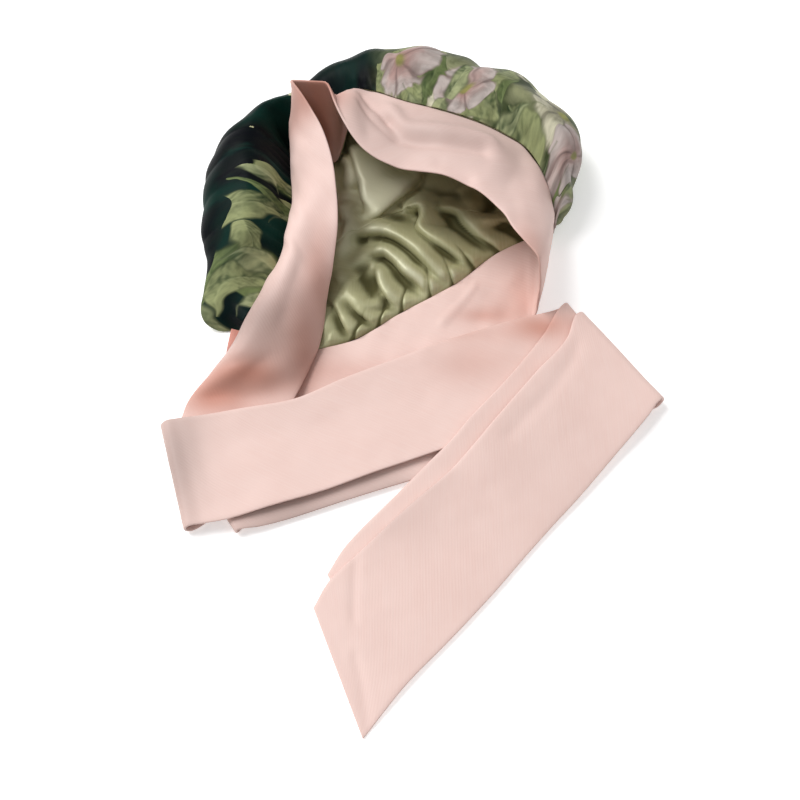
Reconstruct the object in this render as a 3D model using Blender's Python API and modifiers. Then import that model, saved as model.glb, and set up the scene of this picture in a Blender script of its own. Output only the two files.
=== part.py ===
"""A sleep bonnet lying on a flat surface with its mouth towards -Y: a puffed print crown, a satin
lining, a wide face band round the mouth, and two long ties laid back and forth in front of it.

Metres, +Z up. The surface it lies on is z = 0 and the origin is under the middle of the whole.
The tables give millimetres from a point under the front of the bonnet, which LAYOUT_MIDDLE moves.
"""
import math
from collections import namedtuple

import bmesh
import bpy
import numpy as np

MM = 0.001
LAYOUT_MIDDLE = (9.8, 36.3, 0.0)  # the middle of the tables' own plan, mm

STRIP_THICKNESS = 1.6  # the band and ties are a double layer
CROWN_THICKNESS = 1.2
LINING_THICKNESS = 1.0
PIECE_GAP = 0.6  # between the pieces where they are sewn together

TIE_STEP = 24.0  # spacing of a tie's cage along it, which is subdivided once
TIE_COLUMNS = 3
BAND_STEP = 12.0  # spacing of the band's rows, which the crown's and lining's gores share
BAND_COLUMNS = 6
FOLD_STEPS = 4  # parts of a half turn where a tie folds over
FLAT_Z = 0.6  # middle of the crown's wall where it lies on the surface
CLOSING_LENGTH = 62.0  # seam under the band's left foot, where no band is sewn on
CLOSING_COLUMNS = 6
TUCK_IN_LENGTH = 30.0
TUCK_IN = 2.0

LINING_INSET = 3.0  # from the middle of the crown's wall to the middle of the lining's
PLEATS = 9  # pleats of the lining along the front seam
PLEAT_HEIGHT = 9.0
PLEAT_PARTS = 3  # lining gores to each row of the band along the front seam
CORNER_SPAN = 16.0  # the lining leaves the seam this far before the band's left foot
CORNER_Z = 2.6  # and spans the corner there at this height

# A row of a strip: its edge on the crown's side (seam), its free edge (rim), and how far the middle
# stands out between them. A fold row gives the two ends of the fold line and the heights of the
# layer that comes in and the layer that goes out.
Section = namedtuple("Section", "name seam rim bow")
Fold = namedtuple("Fold", "name seam rim z_in z_out")
# A row of the crown: its station on the band, the top of the puff, its widest point and the
# point where the cloth meets the surface.
Gore = namedtuple("Gore", "station crest outline tuck")
Dent = namedtuple("Dent", "name angle depth width")
Ease = namedtuple("Ease", "station reach shift")

BAND = [
    Section("joint_right", (-84.0, 27.0, 0.9), (-67.0, -43.0, 0.8), 0.0),
    Section("front_left", (-65.0, 37.0, 2.2), (-50.0, -37.0, 0.8), 0.0),
    Section("front_mid_left", (-33.0, 48.0, 2.2), (-16.0, -23.0, 0.8), 0.0),
    Section("front_middle", (2.0, 72.0, 2.2), (22.0, -2.0, 0.8), 0.0),
    Section("front_mid_right", (41.0, 97.0, 2.2), (58.0, 23.0, 0.8), 0.0),
    Section("front_right", (76.0, 127.0, 2.4), (82.0, 50.0, 0.8), 0.0),
    Section("right_floor", (103.0, 139.0, 4.0), (95.0, 64.0, 0.9), 0.0),
    Section("right_turn", (112.0, 136.0, 10.0), (100.0, 72.0, 8.0), 1.0),
    Section("right_bend", (113.3, 137.6, 14.0), (99.6, 73.6, 20.0), 1.5),
    Section("right_low", (114.0, 140.0, 18.0), (99.0, 76.0, 32.0), 2.0),
    Section("right_rise", (113.0, 149.0, 26.0), (96.0, 82.0, 56.0), 3.0),
    Section("right_shoulder", (108.0, 167.0, 36.0), (82.0, 99.0, 62.0), 2.0),
    Section("right_top", (95.0, 190.0, 44.0), (71.0, 119.0, 62.0), 0.0),
    Section("top_right", (75.0, 203.0, 48.0), (56.0, 132.0, 70.0), 3.0),
    Section("top_mid_right", (38.0, 219.0, 52.0), (32.0, 145.0, 72.0), 4.0),
    Section("top_middle", (0.0, 232.0, 52.0), (-1.0, 156.0, 66.0), 0.0),
    Section("top_left", (-22.0, 243.0, 47.0), (-23.0, 170.0, 65.0), 4.0),
    Section("peak_right_low", (-35.0, 249.0, 34.0), (-37.0, 187.0, 69.0), 9.0),
    Section("peak_right", (-44.0, 249.0, 17.0), (-47.0, 209.0, 73.0), 12.0),
    Section("peak_corner_right", (-55.0, 240.0, 10.0), (-56.0, 230.0, 74.0), 5.0),
    Section("peak_corner_left", (-79.0, 239.0, 10.0), (-81.0, 232.0, 74.0), 4.0),
    Section("left_peak", (-86.0, 229.0, 11.0), (-74.0, 223.0, 71.0), 6.0),
    Section("left_high", (-84.0, 213.0, 12.0), (-64.0, 207.0, 66.0), 5.0),
    Section("left_upper", (-82.0, 194.0, 12.0), (-54.0, 182.0, 64.0), 3.0),
    Section("left_middle", (-79.0, 172.0, 10.0), (-46.0, 150.0, 63.0), 3.0),
    Section("left_mid_low", (-77.0, 150.0, 9.0), (-41.0, 117.0, 61.0), 4.0),
    Section("left_low", (-83.0, 124.0, 8.0), (-42.0, 90.0, 60.0), 4.0),
    Section("left_lower", (-97.0, 94.0, 7.0), (-47.0, 70.0, 55.0), 5.0),
    Section("left_foot", (-112.0, 62.0, 6.0), (-53.0, 53.0, 45.0), 8.0),
    Section("leaving", (-121.0, 33.0, 6.0), (-58.0, 35.0, 30.0), 10.0),
    Section("turning", (-131.0, 18.0, 6.0), (-65.0, 18.0, 17.0), 7.0),
    Section("dipping", (-146.0, -4.0, 6.0), (-75.0, -7.0, 7.0), 0.0),
    Section("joint_left", (-151.5, -26.0, 5.2), (-88.0, -44.0, 3.6), 0.0),
]
SEWN = ("front_left", "left_foot")  # the crown is sewn to the band between these stations

TIE_RIGHT = [
    Section("joint", (-84.4, 26.8, 0.9), (-67.4, -43.2, 0.8), 0.0),
    Section("under", (-122.0, 2.0, 0.8), (-102.0, -66.0, 0.8), 0.0),
    Fold("left_fold", (-163.0, -25.0), (-140.5, -100.0), (0.8, 0.8), (12.6, 9.6)),
    Section("across_start", (-139.0, -21.0, 13.4), (-117.0, -95.5, 10.0), 1.5),
    Section("across_left", (-109.0, -15.0, 13.4), (-84.0, -84.5, 9.8), 1.5),
    Section("across_mid_left", (-76.0, -8.0, 12.4), (-52.0, -74.0, 9.4), 1.5),
    Section("across_middle", (-40.0, 10.0, 11.2), (-17.0, -60.0, 9.0), 1.5),
    Section("across_mid_right", (0.0, 28.0, 10.6), (22.0, -45.0, 8.6), 1.5),
    Section("across_right", (40.0, 45.0, 9.6), (62.0, -29.0, 8.0), 1.0),
    Section("across_end", (80.0, 61.0, 8.0), (108.0, -13.0, 6.0), 0.0),
    Fold("right_fold", (121.5, 76.0), (162.0, 9.0), (5.0, 4.4), (9.4, 8.0)),
    Section("back_start", (103.0, 47.0, 11.8), (156.0, -4.0, 7.4), 0.0),
    Section("back_high", (74.0, 8.0, 13.2), (130.0, -37.0, 4.6), 0.0),
    Section("back_over", (48.0, -22.0, 13.2), (104.0, -68.0, 3.0), 0.0),
    Section("back_edge", (36.0, -37.0, 11.4), (92.0, -83.0, 2.0), 0.0),
    Section("back_off", (20.0, -53.0, 7.6), (77.0, -100.0, 1.2), 0.0),
    Section("back_down", (0.0, -73.0, 3.4), (57.0, -120.0, 0.8), 0.0),
    Section("back_low", (-37.0, -114.0, 0.9), (20.0, -161.0, 0.8), 0.0),
    Section("end", (-46.0, -130.0, 0.8), (-9.0, -197.0, 0.8), 0.0),
]

TIE_LEFT = [
    Section("joint", (-151.6, -26.5, 5.2), (-88.3, -44.5, 3.6), 0.0),
    Fold("left_fold", (-152.0, -35.0), (-107.0, -101.5), (5.2, 2.9), (9.0, 6.2)),
    Section("across_start", (-121.0, -26.0, 9.2), (-92.0, -97.5, 5.0), 0.0),
    Section("across_left", (-100.0, -20.0, 9.2), (-76.0, -92.5, 3.6), 0.0),
    Section("across_mid_left", (-51.0, -3.0, 8.2), (-27.0, -75.0, 3.4), 0.0),
    Section("across_middle", (20.0, 21.0, 6.0), (44.5, -51.0, 3.2), 0.0),
    Section("across_right", (70.0, 40.0, 5.0), (96.0, -33.0, 2.6), 0.0),
    Section("across_end", (104.0, 52.0, 2.0), (136.0, -19.0, 1.0), 0.0),
    Fold("right_fold", (132.5, 67.0), (182.5, -3.0), (0.8, 0.8), (13.4, 10.6)),
    Section("back_start", (119.0, 42.0, 15.8), (170.0, -17.0, 10.2), 0.0),
    Section("back_high", (94.0, 11.0, 17.6), (144.0, -47.0, 6.6), 0.0),
    Section("back_over", (64.0, -26.0, 17.0), (116.0, -79.0, 4.0), 0.0),
    Section("back_edge", (50.0, -43.0, 14.4), (101.0, -95.0, 3.2), 0.0),
    Section("back_off", (34.0, -60.0, 9.4), (84.0, -114.0, 2.8), 0.0),
    Section("back_down", (5.0, -86.0, 6.6), (58.0, -144.0, 2.8), 0.0),
    Section("back_low", (-21.0, -112.0, 4.8), (32.0, -172.0, 2.8), 0.0),
    Section("back_tip", (-46.0, -138.0, 3.8), (3.0, -202.0, 3.2), 0.0),
    Section("end", (-54.0, -153.0, 2.6), (-22.0, -233.0, 0.9), 0.0),
]

# The gathered end of the seam that shows between the crown's hem and the band's left foot.
SEAM_TAB = [
    Section("top", (-122.5, 55.0, 4.2), (-113.0, 53.0, 3.4), 0.0),
    Section("middle", (-124.5, 45.0, 4.2), (-115.5, 43.0, 3.2), 0.5),
    Section("bottom", (-126.0, 35.0, 4.0), (-120.0, 31.0, 3.6), 0.0),
]

UNDER_BAND = (-89.0, 45.0, 2.2)  # where the seam closes under the band's left foot

CROWN = [
    Gore("front_left", (-60.0, 50.0, 0.6), (-50.0, 66.0, 0.6), (-36.0, 92.0)),
    Gore("front_mid_left", (-28.0, 60.0, 0.6), (-22.0, 76.0, 0.6), (-14.0, 100.0)),
    Gore("front_middle", (3.0, 84.0, 0.6), (5.0, 98.0, 0.6), (7.0, 118.0)),
    Gore("front_mid_right", (38.0, 108.0, 0.6), (34.0, 119.0, 0.6), (28.0, 134.0)),
    Gore("front_right", (69.0, 134.0, 0.6), (61.0, 140.0, 0.6), (46.0, 147.0)),
    Gore("right_floor", (101.0, 148.0, 4.0), (98.0, 153.0, 2.0), (84.0, 156.0)),
    Gore("right_turn", (116.5, 145.0, 15.0), (119.0, 149.0, 8.0), (107.0, 156.0)),
    Gore("right_low", (119.5, 150.0, 26.5), (126.0, 155.0, 13.0), (115.0, 160.0)),
    Gore("right_rise", (122.5, 159.0, 38.0), (132.0, 165.0, 18.0), (120.0, 169.0)),
    Gore("right_shoulder", (124.0, 180.0, 52.0), (138.0, 187.0, 22.0), (124.0, 190.0)),
    Gore("right_top", (114.0, 209.0, 58.0), (138.0, 213.0, 26.0), (123.0, 213.0)),
    Gore("top_right", (93.0, 234.0, 60.0), (126.0, 246.0, 28.0), (112.0, 242.0)),
    Gore("top_mid_right", (52.0, 258.0, 62.0), (84.0, 286.0, 28.0), (74.0, 274.0)),
    Gore("top_middle", (6.0, 270.0, 62.0), (20.0, 305.0, 28.0), (16.0, 290.0)),
    Gore("top_left", (-24.0, 274.0, 58.0), (-24.0, 302.0, 28.0), (-22.0, 286.0)),
    Gore("peak_right_low", (-41.0, 273.0, 52.0), (-50.0, 291.0, 28.0), (-44.0, 277.0)),
    Gore("peak_right", (-53.0, 268.0, 45.0), (-67.0, 282.0, 26.0), (-59.0, 268.0)),
    Gore("peak_corner_right", (-68.0, 260.0, 40.0), (-82.0, 272.0, 26.0), (-73.0, 259.0)),
    Gore("peak_corner_left", (-94.0, 246.0, 42.0), (-107.0, 248.0, 26.0), (-95.0, 240.0)),
    Gore("left_peak", (-105.0, 232.0, 48.0), (-127.0, 227.0, 28.0), (-112.0, 223.0)),
    Gore("left_high", (-112.0, 214.0, 52.0), (-142.0, 204.0, 26.0), (-126.0, 204.0)),
    Gore("left_upper", (-114.0, 194.0, 52.0), (-147.0, 182.0, 24.0), (-130.0, 182.0)),
    Gore("left_middle", (-113.0, 170.0, 50.0), (-148.0, 160.0, 22.0), (-131.0, 162.0)),
    Gore("left_mid_low", (-112.0, 146.0, 46.0), (-146.0, 134.0, 20.0), (-130.0, 138.0)),
    Gore("left_low", (-114.0, 120.0, 42.0), (-142.0, 110.0, 18.0), (-127.0, 116.0)),
    Gore("left_lower", (-121.0, 92.0, 29.0), (-145.0, 84.0, 14.0), (-128.0, 92.0)),
    Gore("left_foot", (-124.0, 67.0, 12.0), (-139.0, 64.0, 7.0), (-122.0, 77.0)),
    Gore("closing_left", (-116.0, 61.0, 1.2), (-130.0, 63.0, 0.8), (-114.0, 79.0)),
    Gore("under_band", (-83.0, 58.0, 0.6), (-73.0, 72.0, 0.6), (-57.0, 95.0)),
]
POLE = (5.0, 165.0)  # where the crown's gores meet, under the hollow
# Places along a gore where the crown and lining have a ring of points: the seam is 0, and each
# following point of the gore, down to the pole, is one more.
RINGS = (0.0, 0.3, 0.6, 0.9, 1.2, 1.6, 2.0, 2.4, 2.8, 3.4)
TUCK_RING = 2.8  # the ring just short of the tuck
# Where the mouth turns from the floor up into the band's lean, the lining keeps further in.
EASE = Ease("right_bend", 28.0, (-1.1, 1.4, 0.0))
DENTS = [  # angle in degrees about the pole from +X, depth in mm, half width in degrees
    Dent("right_notch", 62.0, 7.0, 4.5),
    Dent("left_notch", 206.0, 7.0, 6.0),
    Dent("right_ridge_gap", 6.0, 5.0, 5.0),
]

MATERIALS = {  # base colour, roughness
    "print_satin": ((0.045, 0.105, 0.075), 0.42),
    "sage_satin": ((0.36, 0.36, 0.19), 0.30),
    "blush_satin": ((0.80, 0.58, 0.52), 0.55),
    "coral_satin": ((0.60, 0.22, 0.17), 0.55),
}


def monotone(places, values, wanted):
    """Values at the wanted places on a smooth curve through the rows that never overshoots them."""
    x, y = np.asarray(places, float), np.asarray(values, float)
    step = np.diff(x)[:, None]
    slope = np.diff(y, axis=0) / step
    tangent = np.zeros_like(y)
    tangent[0], tangent[-1] = slope[0], slope[-1]
    before, after = slope[:-1], slope[1:]
    same_way = before * after > 0.0
    weight_1 = 2.0 * step[1:] + step[:-1]
    weight_2 = step[1:] + 2.0 * step[:-1]
    safe_before = np.where(same_way, before, 1.0)
    safe_after = np.where(same_way, after, 1.0)
    mean = (weight_1 + weight_2) / (weight_1 / safe_before + weight_2 / safe_after)
    tangent[1:-1] = np.where(same_way, mean, 0.0)
    wanted = np.atleast_1d(np.asarray(wanted, float))
    cell = np.clip(np.searchsorted(x, wanted, side="right") - 1, 0, len(x) - 2)
    h = (x[cell + 1] - x[cell])[:, None]
    t = (wanted - x[cell])[:, None] / h
    start, end = y[cell], y[cell + 1]
    return (
        start * (2 * t**3 - 3 * t**2 + 1)
        + tangent[cell] * h * (t**3 - 2 * t**2 + t)
        + end * (3 * t**2 - 2 * t**3)
        + tangent[cell + 1] * h * (t**3 - t**2)
    )


def unit(vectors):
    length = np.linalg.norm(vectors, axis=-1, keepdims=True)
    return vectors / np.maximum(length, 1e-9)


def fold_rows(fold, before):
    """The half turn of a folded strip, as rows of (seam, rim, bow), from the layer coming in."""
    seam, rim = np.array(fold.seam), np.array(fold.rim)
    line = seam - rim
    back = unit(np.array([-line[1], line[0]]))
    middle_before = (np.array(before.seam[:2]) + np.array(before.rim[:2])) / 2.0
    if np.dot(middle_before - (seam + rim) / 2.0, back) < 0.0:
        back = -back
    rows = []
    for step in range(FOLD_STEPS + 1):
        turn = math.pi * step / FOLD_STEPS
        ends = []
        for end, z_in, z_out in ((seam, fold.z_in[0], fold.z_out[0]), (rim, fold.z_in[1], fold.z_out[1])):
            radius = (z_out - z_in) / 2.0
            place = end + back * radius * (1.0 - math.sin(turn))
            ends.append((place[0], place[1], z_in + radius * (1.0 - math.cos(turn))))
        rows.append((ends[0], ends[1], 0.0))
    return rows


def strip_rows(table):
    """A strip's table as plain rows of (seam, rim, bow), each fold opened into its half turn."""
    rows = []
    for number, row in enumerate(table):
        if isinstance(row, Fold):
            rows += fold_rows(row, table[number - 1])
        else:
            rows.append((row.seam, row.rim, row.bow))
    return rows


def strip_places(rows):
    """The distance of each row along the strip's middle."""
    middle = np.array([(np.array(seam) + np.array(rim)) / 2.0 for seam, rim, bow in rows])
    return np.concatenate([[0.0], np.cumsum(np.linalg.norm(np.diff(middle, axis=0), axis=1))])


def strip_lines(rows, spacing):
    """A strip's smooth seam, rim, bow and outward side at even steps between its rows."""
    places = strip_places(rows)
    wanted = [0.0]
    for start, end in zip(places[:-1], places[1:]):
        parts = max(1, round((end - start) / spacing))
        wanted += [start + (end - start) * part / parts for part in range(1, parts + 1)]
    values = np.array([[*seam, *rim, bow] for seam, rim, bow in rows])
    smooth = monotone(places, values, wanted)
    seam, rim, bow = smooth[:, 0:3], smooth[:, 3:6], smooth[:, 6:7]
    outward = unit(np.cross(np.gradient((seam + rim) / 2.0, axis=0), rim - seam))
    return np.array(wanted), seam, rim, bow, outward


def strip_grid(rows, spacing, columns):
    """Points of a strip: one line of points across for each step along."""
    _, seam, rim, bow, outward = strip_lines(rows, spacing)
    grid = []
    for column in range(columns):
        across = column / (columns - 1)
        arch = 4.0 * across * (1.0 - across)
        grid.append(seam + (rim - seam) * across + outward * bow * arch)
    return np.stack(grid, axis=1)


def mouth():
    """The gores round the mouth: each one's place along the seam, and where it starts.

    A gore starts just off the band's edge, on the outer side. The last gores close the seam
    under the band's left foot.
    """
    rows = strip_rows(BAND)
    places, seam, rim, bow, outward = strip_lines(rows, BAND_STEP)
    stations = dict(zip([row.name for row in BAND], strip_places(rows)))
    sewn = (places >= stations[SEWN[0]] - 0.001) & (places <= stations[SEWN[1]] + 0.001)
    places, seam, outward = places[sewn], seam[sewn], outward[sewn]
    towards_rim = unit(rim[sewn] - seam)
    closing = np.array([0.0, 0.5, 1.0])
    first, last = places[0], places[-1]
    turns = np.array([seam[-1], UNDER_BAND, seam[0]])
    extra = np.arange(1, CLOSING_COLUMNS + 1) / (CLOSING_COLUMNS + 1)
    closing_seam = monotone(closing, turns, extra)
    forward, down = np.array([0.3, -0.95, 0.0]), np.array([0.0, 0.0, -1.0])
    share = (np.abs(extra - 0.5) * 2.0)[:, None] ** 2
    near_rim = np.where((extra < 0.5)[:, None], towards_rim[-1], towards_rim[0])
    near_out = np.where((extra < 0.5)[:, None], outward[-1], outward[0])
    seam = np.concatenate([seam, closing_seam])
    towards_rim = np.concatenate([towards_rim, unit(forward * (1.0 - share) + near_rim * share)])
    outward = np.concatenate([outward, unit(down * (1.0 - share) + near_out * share)])
    places = np.concatenate([places, last + CLOSING_LENGTH * extra])
    stations["closing_left"] = last + CLOSING_LENGTH * extra[0]
    stations["under_band"] = last + CLOSING_LENGTH / 2.0
    # Before the left foot the crown's edge moves from beside the band's edge to below it.
    tuck_in = np.clip((places - last + TUCK_IN_LENGTH) / TUCK_IN_LENGTH, 0.0, 1.0)[:, None]
    tuck_in = np.where((places > last + 0.001)[:, None], 0.0, tuck_in**2)
    below = CROWN_THICKNESS / 2.0 + PIECE_GAP + TUCK_IN * tuck_in
    beside = ((STRIP_THICKNESS + CROWN_THICKNESS) / 2.0 + PIECE_GAP) * (1.0 - tuck_in)
    start = seam - towards_rim * below + outward * beside
    start[:, 2] = np.maximum(start[:, 2], FLAT_Z)
    return places - first, start, stations, last - first + CLOSING_LENGTH, first


def gore_lines(places, starts, stations, total, first):
    """Each gore as points: its start, the puff's top, its widest point, the tuck and the pole."""
    table = [[*gore.crest, *gore.outline, *gore.tuck, FLAT_Z] for gore in CROWN]
    at = np.array([stations[gore.station] for gore in CROWN]) - first
    order = np.argsort(at)
    table, at = np.array(table)[order], at[order]
    wrapped = np.concatenate([at[-2:] - total, at, at[:2] + total])
    values = np.concatenate([table[-2:], table, table[:2]])
    smooth = monotone(wrapped, values, places)
    pole = np.broadcast_to([*POLE, FLAT_Z], (len(places), 3))
    lines = [starts, smooth[:, 0:3], smooth[:, 3:6], smooth[:, 6:9], pole]
    return np.stack(lines, axis=1)


def along_gore(lines, rings):
    """Points at the wanted rings of every gore."""
    marks = np.arange(lines.shape[1], dtype=float)
    return np.array([monotone(marks, line, rings) for line in lines])


def dent(grid, rings):
    """Pull the puff in at the valleys that show from above."""
    pole = np.array([*POLE, 0.0])
    away = (grid - pole) * np.array([1.0, 1.0, 0.0])
    angle = np.degrees(np.arctan2(away[..., 1], away[..., 0])) % 360.0
    reach = np.exp(-(((np.asarray(rings) - 1.7) / 0.9) ** 2))[None, :]
    pull = np.zeros(angle.shape)
    for row in DENTS:
        difference = (angle - row.angle + 180.0) % 360.0 - 180.0
        pull += row.depth * np.exp(-((difference / row.width) ** 2)) * reach
    return grid - unit(away) * pull[..., None]


def inward_of(grid, inset):
    """The grid moved off itself towards the hollow by the inset."""
    around = np.roll(grid, -1, axis=0) - np.roll(grid, 1, axis=0)
    along = np.gradient(grid, axis=1)
    return grid - unit(np.cross(along, around)) * inset


def ease_corner(grid, places, middle):
    """Shift the lining into the hollow near the station of EASE, most of all along the seam."""
    near = np.clip(2.0 - 2.0 * np.abs(places - middle) / EASE.reach, 0.0, 1.0)
    share = near[:, None] * np.clip(1.0 - np.asarray(RINGS) / TUCK_RING, 0.0, 1.0) ** 0.5
    return grid + np.array(EASE.shift) * share[..., None]


def span_corner(grid, places, start, total):
    """Let the lining run straight across the corner under the band's left foot, low over the floor.

    From the last whole gore on, each gore goes the shortest way from the seam to the tuck.
    """
    tuck = RINGS.index(TUCK_RING)
    along = np.clip(np.asarray(RINGS) / TUCK_RING, 0.0, 1.0)[:, None]
    last = np.argmin(np.abs(places - start))
    spanned = grid.copy()
    for number in range(last + 1, len(places)):
        share = ((places[number] - places[last]) / (total - places[last])) ** 2
        gore = grid[last] * (1.0 - share) + grid[0] * share
        straight = gore[0] * (1.0 - along) + gore[tuck] * along
        gore[:tuck] = straight[:tuck]
        gore[:, 2] = np.minimum(gore[:, 2], CORNER_Z)
        spanned[number] = gore
    return spanned


def make_material(name):
    colour, roughness = MATERIALS[name]
    material = bpy.data.materials.new(name)
    material.use_nodes = True
    shader = material.node_tree.nodes["Principled BSDF"]
    shader.inputs["Base Color"].default_value = (*colour, 1.0)
    shader.inputs["Roughness"].default_value = roughness
    shader.inputs["Metallic"].default_value = 0.0
    return material


def sheet_object(name, grid, closed, pole, thickness, levels, material, collection):
    """A sheet of cloth with a wall: an open grid of faces, smoothed, then thickened both ways."""
    points = (np.asarray(grid) - np.array(LAYOUT_MIDDLE)) * MM
    mesh = bpy.data.meshes.new(name)
    sheet = bmesh.new()
    verts = [[sheet.verts.new(point) for point in line] for line in points]
    lines = len(verts)
    for line in range(lines if closed else lines - 1):
        here, there = verts[line], verts[(line + 1) % lines]
        for column in range(len(here) - 1):
            sheet.faces.new((here[column], there[column], there[column + 1], here[column + 1]))
    if pole is not None:
        centre = sheet.verts.new([(value - middle) * MM for value, middle in zip(pole, LAYOUT_MIDDLE)])
        for line in range(lines):
            sheet.faces.new((verts[line][-1], verts[(line + 1) % lines][-1], centre))
    bmesh.ops.recalc_face_normals(sheet, faces=sheet.faces)
    sheet.to_mesh(mesh)
    sheet.free()
    mesh.shade_smooth()
    mesh.materials.append(material)
    piece = bpy.data.objects.new(name, mesh)
    collection.objects.link(piece)
    if levels:
        smooth = piece.modifiers.new("smooth", "SUBSURF")
        smooth.levels = levels
        smooth.render_levels = levels
        smooth.boundary_smooth = "PRESERVE_CORNERS"
    wall = piece.modifiers.new("wall", "SOLIDIFY")
    wall.thickness = thickness * MM
    wall.offset = 0.0
    return piece


def make_strip(name, table, material, collection):
    grid = strip_grid(strip_rows(table), TIE_STEP, TIE_COLUMNS)
    return sheet_object(name, grid, False, None, STRIP_THICKNESS, 1, material, collection)


def make_band(material, collection):
    grid = strip_grid(strip_rows(BAND), BAND_STEP, BAND_COLUMNS)
    return sheet_object("band", grid, False, None, STRIP_THICKNESS, 0, material, collection)


def make_crown(material, collection):
    places, starts, stations, total, first = mouth()
    lines = gore_lines(places, starts, stations, total, first)
    grid = dent(along_gore(lines, RINGS), RINGS)
    pole = (*POLE, FLAT_Z)
    return sheet_object("crown", grid, True, pole, CROWN_THICKNESS, 0, material, collection)


def make_lining(material, collection):
    places, starts, stations, total, first = mouth()
    lines = gore_lines(places, starts, stations, total, first)
    outer = dent(along_gore(lines, RINGS), RINGS)
    inset = np.full((len(RINGS), 1), LINING_INSET)
    inset[0] = (CROWN_THICKNESS + LINING_THICKNESS) / 2.0 + PIECE_GAP
    corner = stations["left_foot"] - first - CORNER_SPAN
    grid = ease_corner(inward_of(outer, inset), places, stations[EASE.station] - first)
    grid = span_corner(grid, places, corner, total)
    front_end = stations["right_floor"] - first
    fine, fine_places = [], []
    for number, place in enumerate(places):
        after = (number + 1) % len(places)
        parts = PLEAT_PARTS if place < front_end - 0.001 else 1
        for part in range(parts):
            share = part / parts
            fine.append(grid[number] * (1.0 - share) + grid[after] * share)
            fine_places.append(place + (places[after] - place) * share)
    lining, fine_places = np.array(fine), np.array(fine_places)
    # The pleats stand up off the floor of the hollow, highest a little way in from the seam.
    rings = np.asarray(RINGS)
    swell = np.clip(rings / 0.9, 0.0, 1.0) * np.clip((3.9 - rings) / 2.4, 0.0, 1.0)
    wave = 0.5 - 0.5 * np.cos(2.0 * np.pi * PLEATS * np.clip(fine_places / front_end, 0.0, 1.0))
    lining[:, :, 2] += PLEAT_HEIGHT * wave[:, None] * swell[None, :]
    pole = (*POLE, FLAT_Z + LINING_INSET)
    return sheet_object("lining", lining, True, pole, LINING_THICKNESS, 0, material, collection)


def main():
    for old in list(bpy.data.objects):
        bpy.data.objects.remove(old, do_unlink=True)
    collection = bpy.data.collections.new("sleep_bonnet")
    bpy.context.scene.collection.children.link(collection)
    print_satin = make_material("print_satin")
    sage_satin = make_material("sage_satin")
    blush_satin = make_material("blush_satin")
    make_crown(print_satin, collection)
    make_lining(sage_satin, collection)
    make_band(blush_satin, collection)
    make_strip("tie_left", TIE_LEFT, blush_satin, collection)
    make_strip("tie_right", TIE_RIGHT, blush_satin, collection)
    make_strip("seam_tab", SEAM_TAB, make_material("coral_satin"), collection)


main()
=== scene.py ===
"""Looks of a sleep bonnet that lies with its mouth towards -Y: every sheet of cloth as a fine closed
shell with its gathers, folds and creases, its print and satin, and the pale studio round it.

The tables give millimetres from a point under the front of the bonnet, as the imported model's own
tables do. LAYOUT_MIDDLE moves them into the frame, which is in metres.
"""
import math
from collections import namedtuple

import bpy
import numpy as np
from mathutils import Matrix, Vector


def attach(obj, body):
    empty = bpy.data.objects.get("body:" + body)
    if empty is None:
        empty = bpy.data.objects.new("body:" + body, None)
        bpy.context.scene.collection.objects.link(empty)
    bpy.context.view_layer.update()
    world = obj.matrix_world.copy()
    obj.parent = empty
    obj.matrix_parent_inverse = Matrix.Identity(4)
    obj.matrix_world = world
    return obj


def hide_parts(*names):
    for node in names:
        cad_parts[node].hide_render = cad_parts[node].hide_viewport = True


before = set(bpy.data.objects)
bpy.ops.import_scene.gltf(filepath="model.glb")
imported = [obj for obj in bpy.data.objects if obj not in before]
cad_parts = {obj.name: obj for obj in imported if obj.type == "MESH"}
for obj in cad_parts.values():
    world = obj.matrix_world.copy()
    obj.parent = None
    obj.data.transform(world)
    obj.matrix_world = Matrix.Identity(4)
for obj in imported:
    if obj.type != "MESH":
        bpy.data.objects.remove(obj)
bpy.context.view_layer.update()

MM = 0.001
LAYOUT_MIDDLE = (9.8, 36.3, 0)
TURN = 2 * math.pi

# ---------------- sizes, mm
STRIP_WIDTH = 76
STRIP_THICKNESS = 1.6
ARCH_SKEW = 0.85  # below 1 moves the top of a strip's arch towards its seam
BROAD_WAVES = 46  # lengths of the slight waves all over the strips
FINE_WAVES = 19
BAND_WAVINESS = 0.45  # their height
TIE_WAVINESS = 0.12
BAND_SEED, TIE_LEFT_SEED, TIE_RIGHT_SEED = 3, 5, 7
TAB_THICKNESS = 1.2
CROWN_THICKNESS = 1
LINING_THICKNESS = 0.8
PIECE_GAP = 0.5  # between two pieces of cloth where they are sewn together
FLAT_Z = 0.6  # the middle of a bag's cloth where it lies on the floor
TUCK_RING = 2.8  # where a bag turns under, between 0 at its seam and 4 at its pole
DENT_RING = 1.7  # where the valleys in the puff are deepest, counted in the same way
DENT_SPREAD = 0.9
STANDING = (4, 24)  # gathers grow from none to full between these heights of the puff's top
PUFF_WAVES = 52  # length, height and seed of the puff's unevenness
PUFF_WAVE_HEIGHT = 1.7
PUFF_SEED = 31
LINING_INSET = 2.4  # from the crown's surface in to the lining's
CLOSING_LENGTH = 62  # the mouth's last stretch, under the band's left foot
CLOSING_STATIONS = {"closing_left": 1 / 7, "under_band": 0.5}  # shares of it
FORWARD = (0.3, -0.95, 0)  # half way along it, towards the rim's side
DOWN = (0, 0, -1)  # and towards the outer side
TUCK_IN_LENGTH = 30  # the stretch before it, where the crown's edge moves in under the band's edge
TUCK_IN = 2  # how much further below the band's edge it ends
CORNER_SPAN = 16  # the lining spans the corner under the left foot from this far before it
CORNER_Z = 2.6  # and no higher than this

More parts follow.
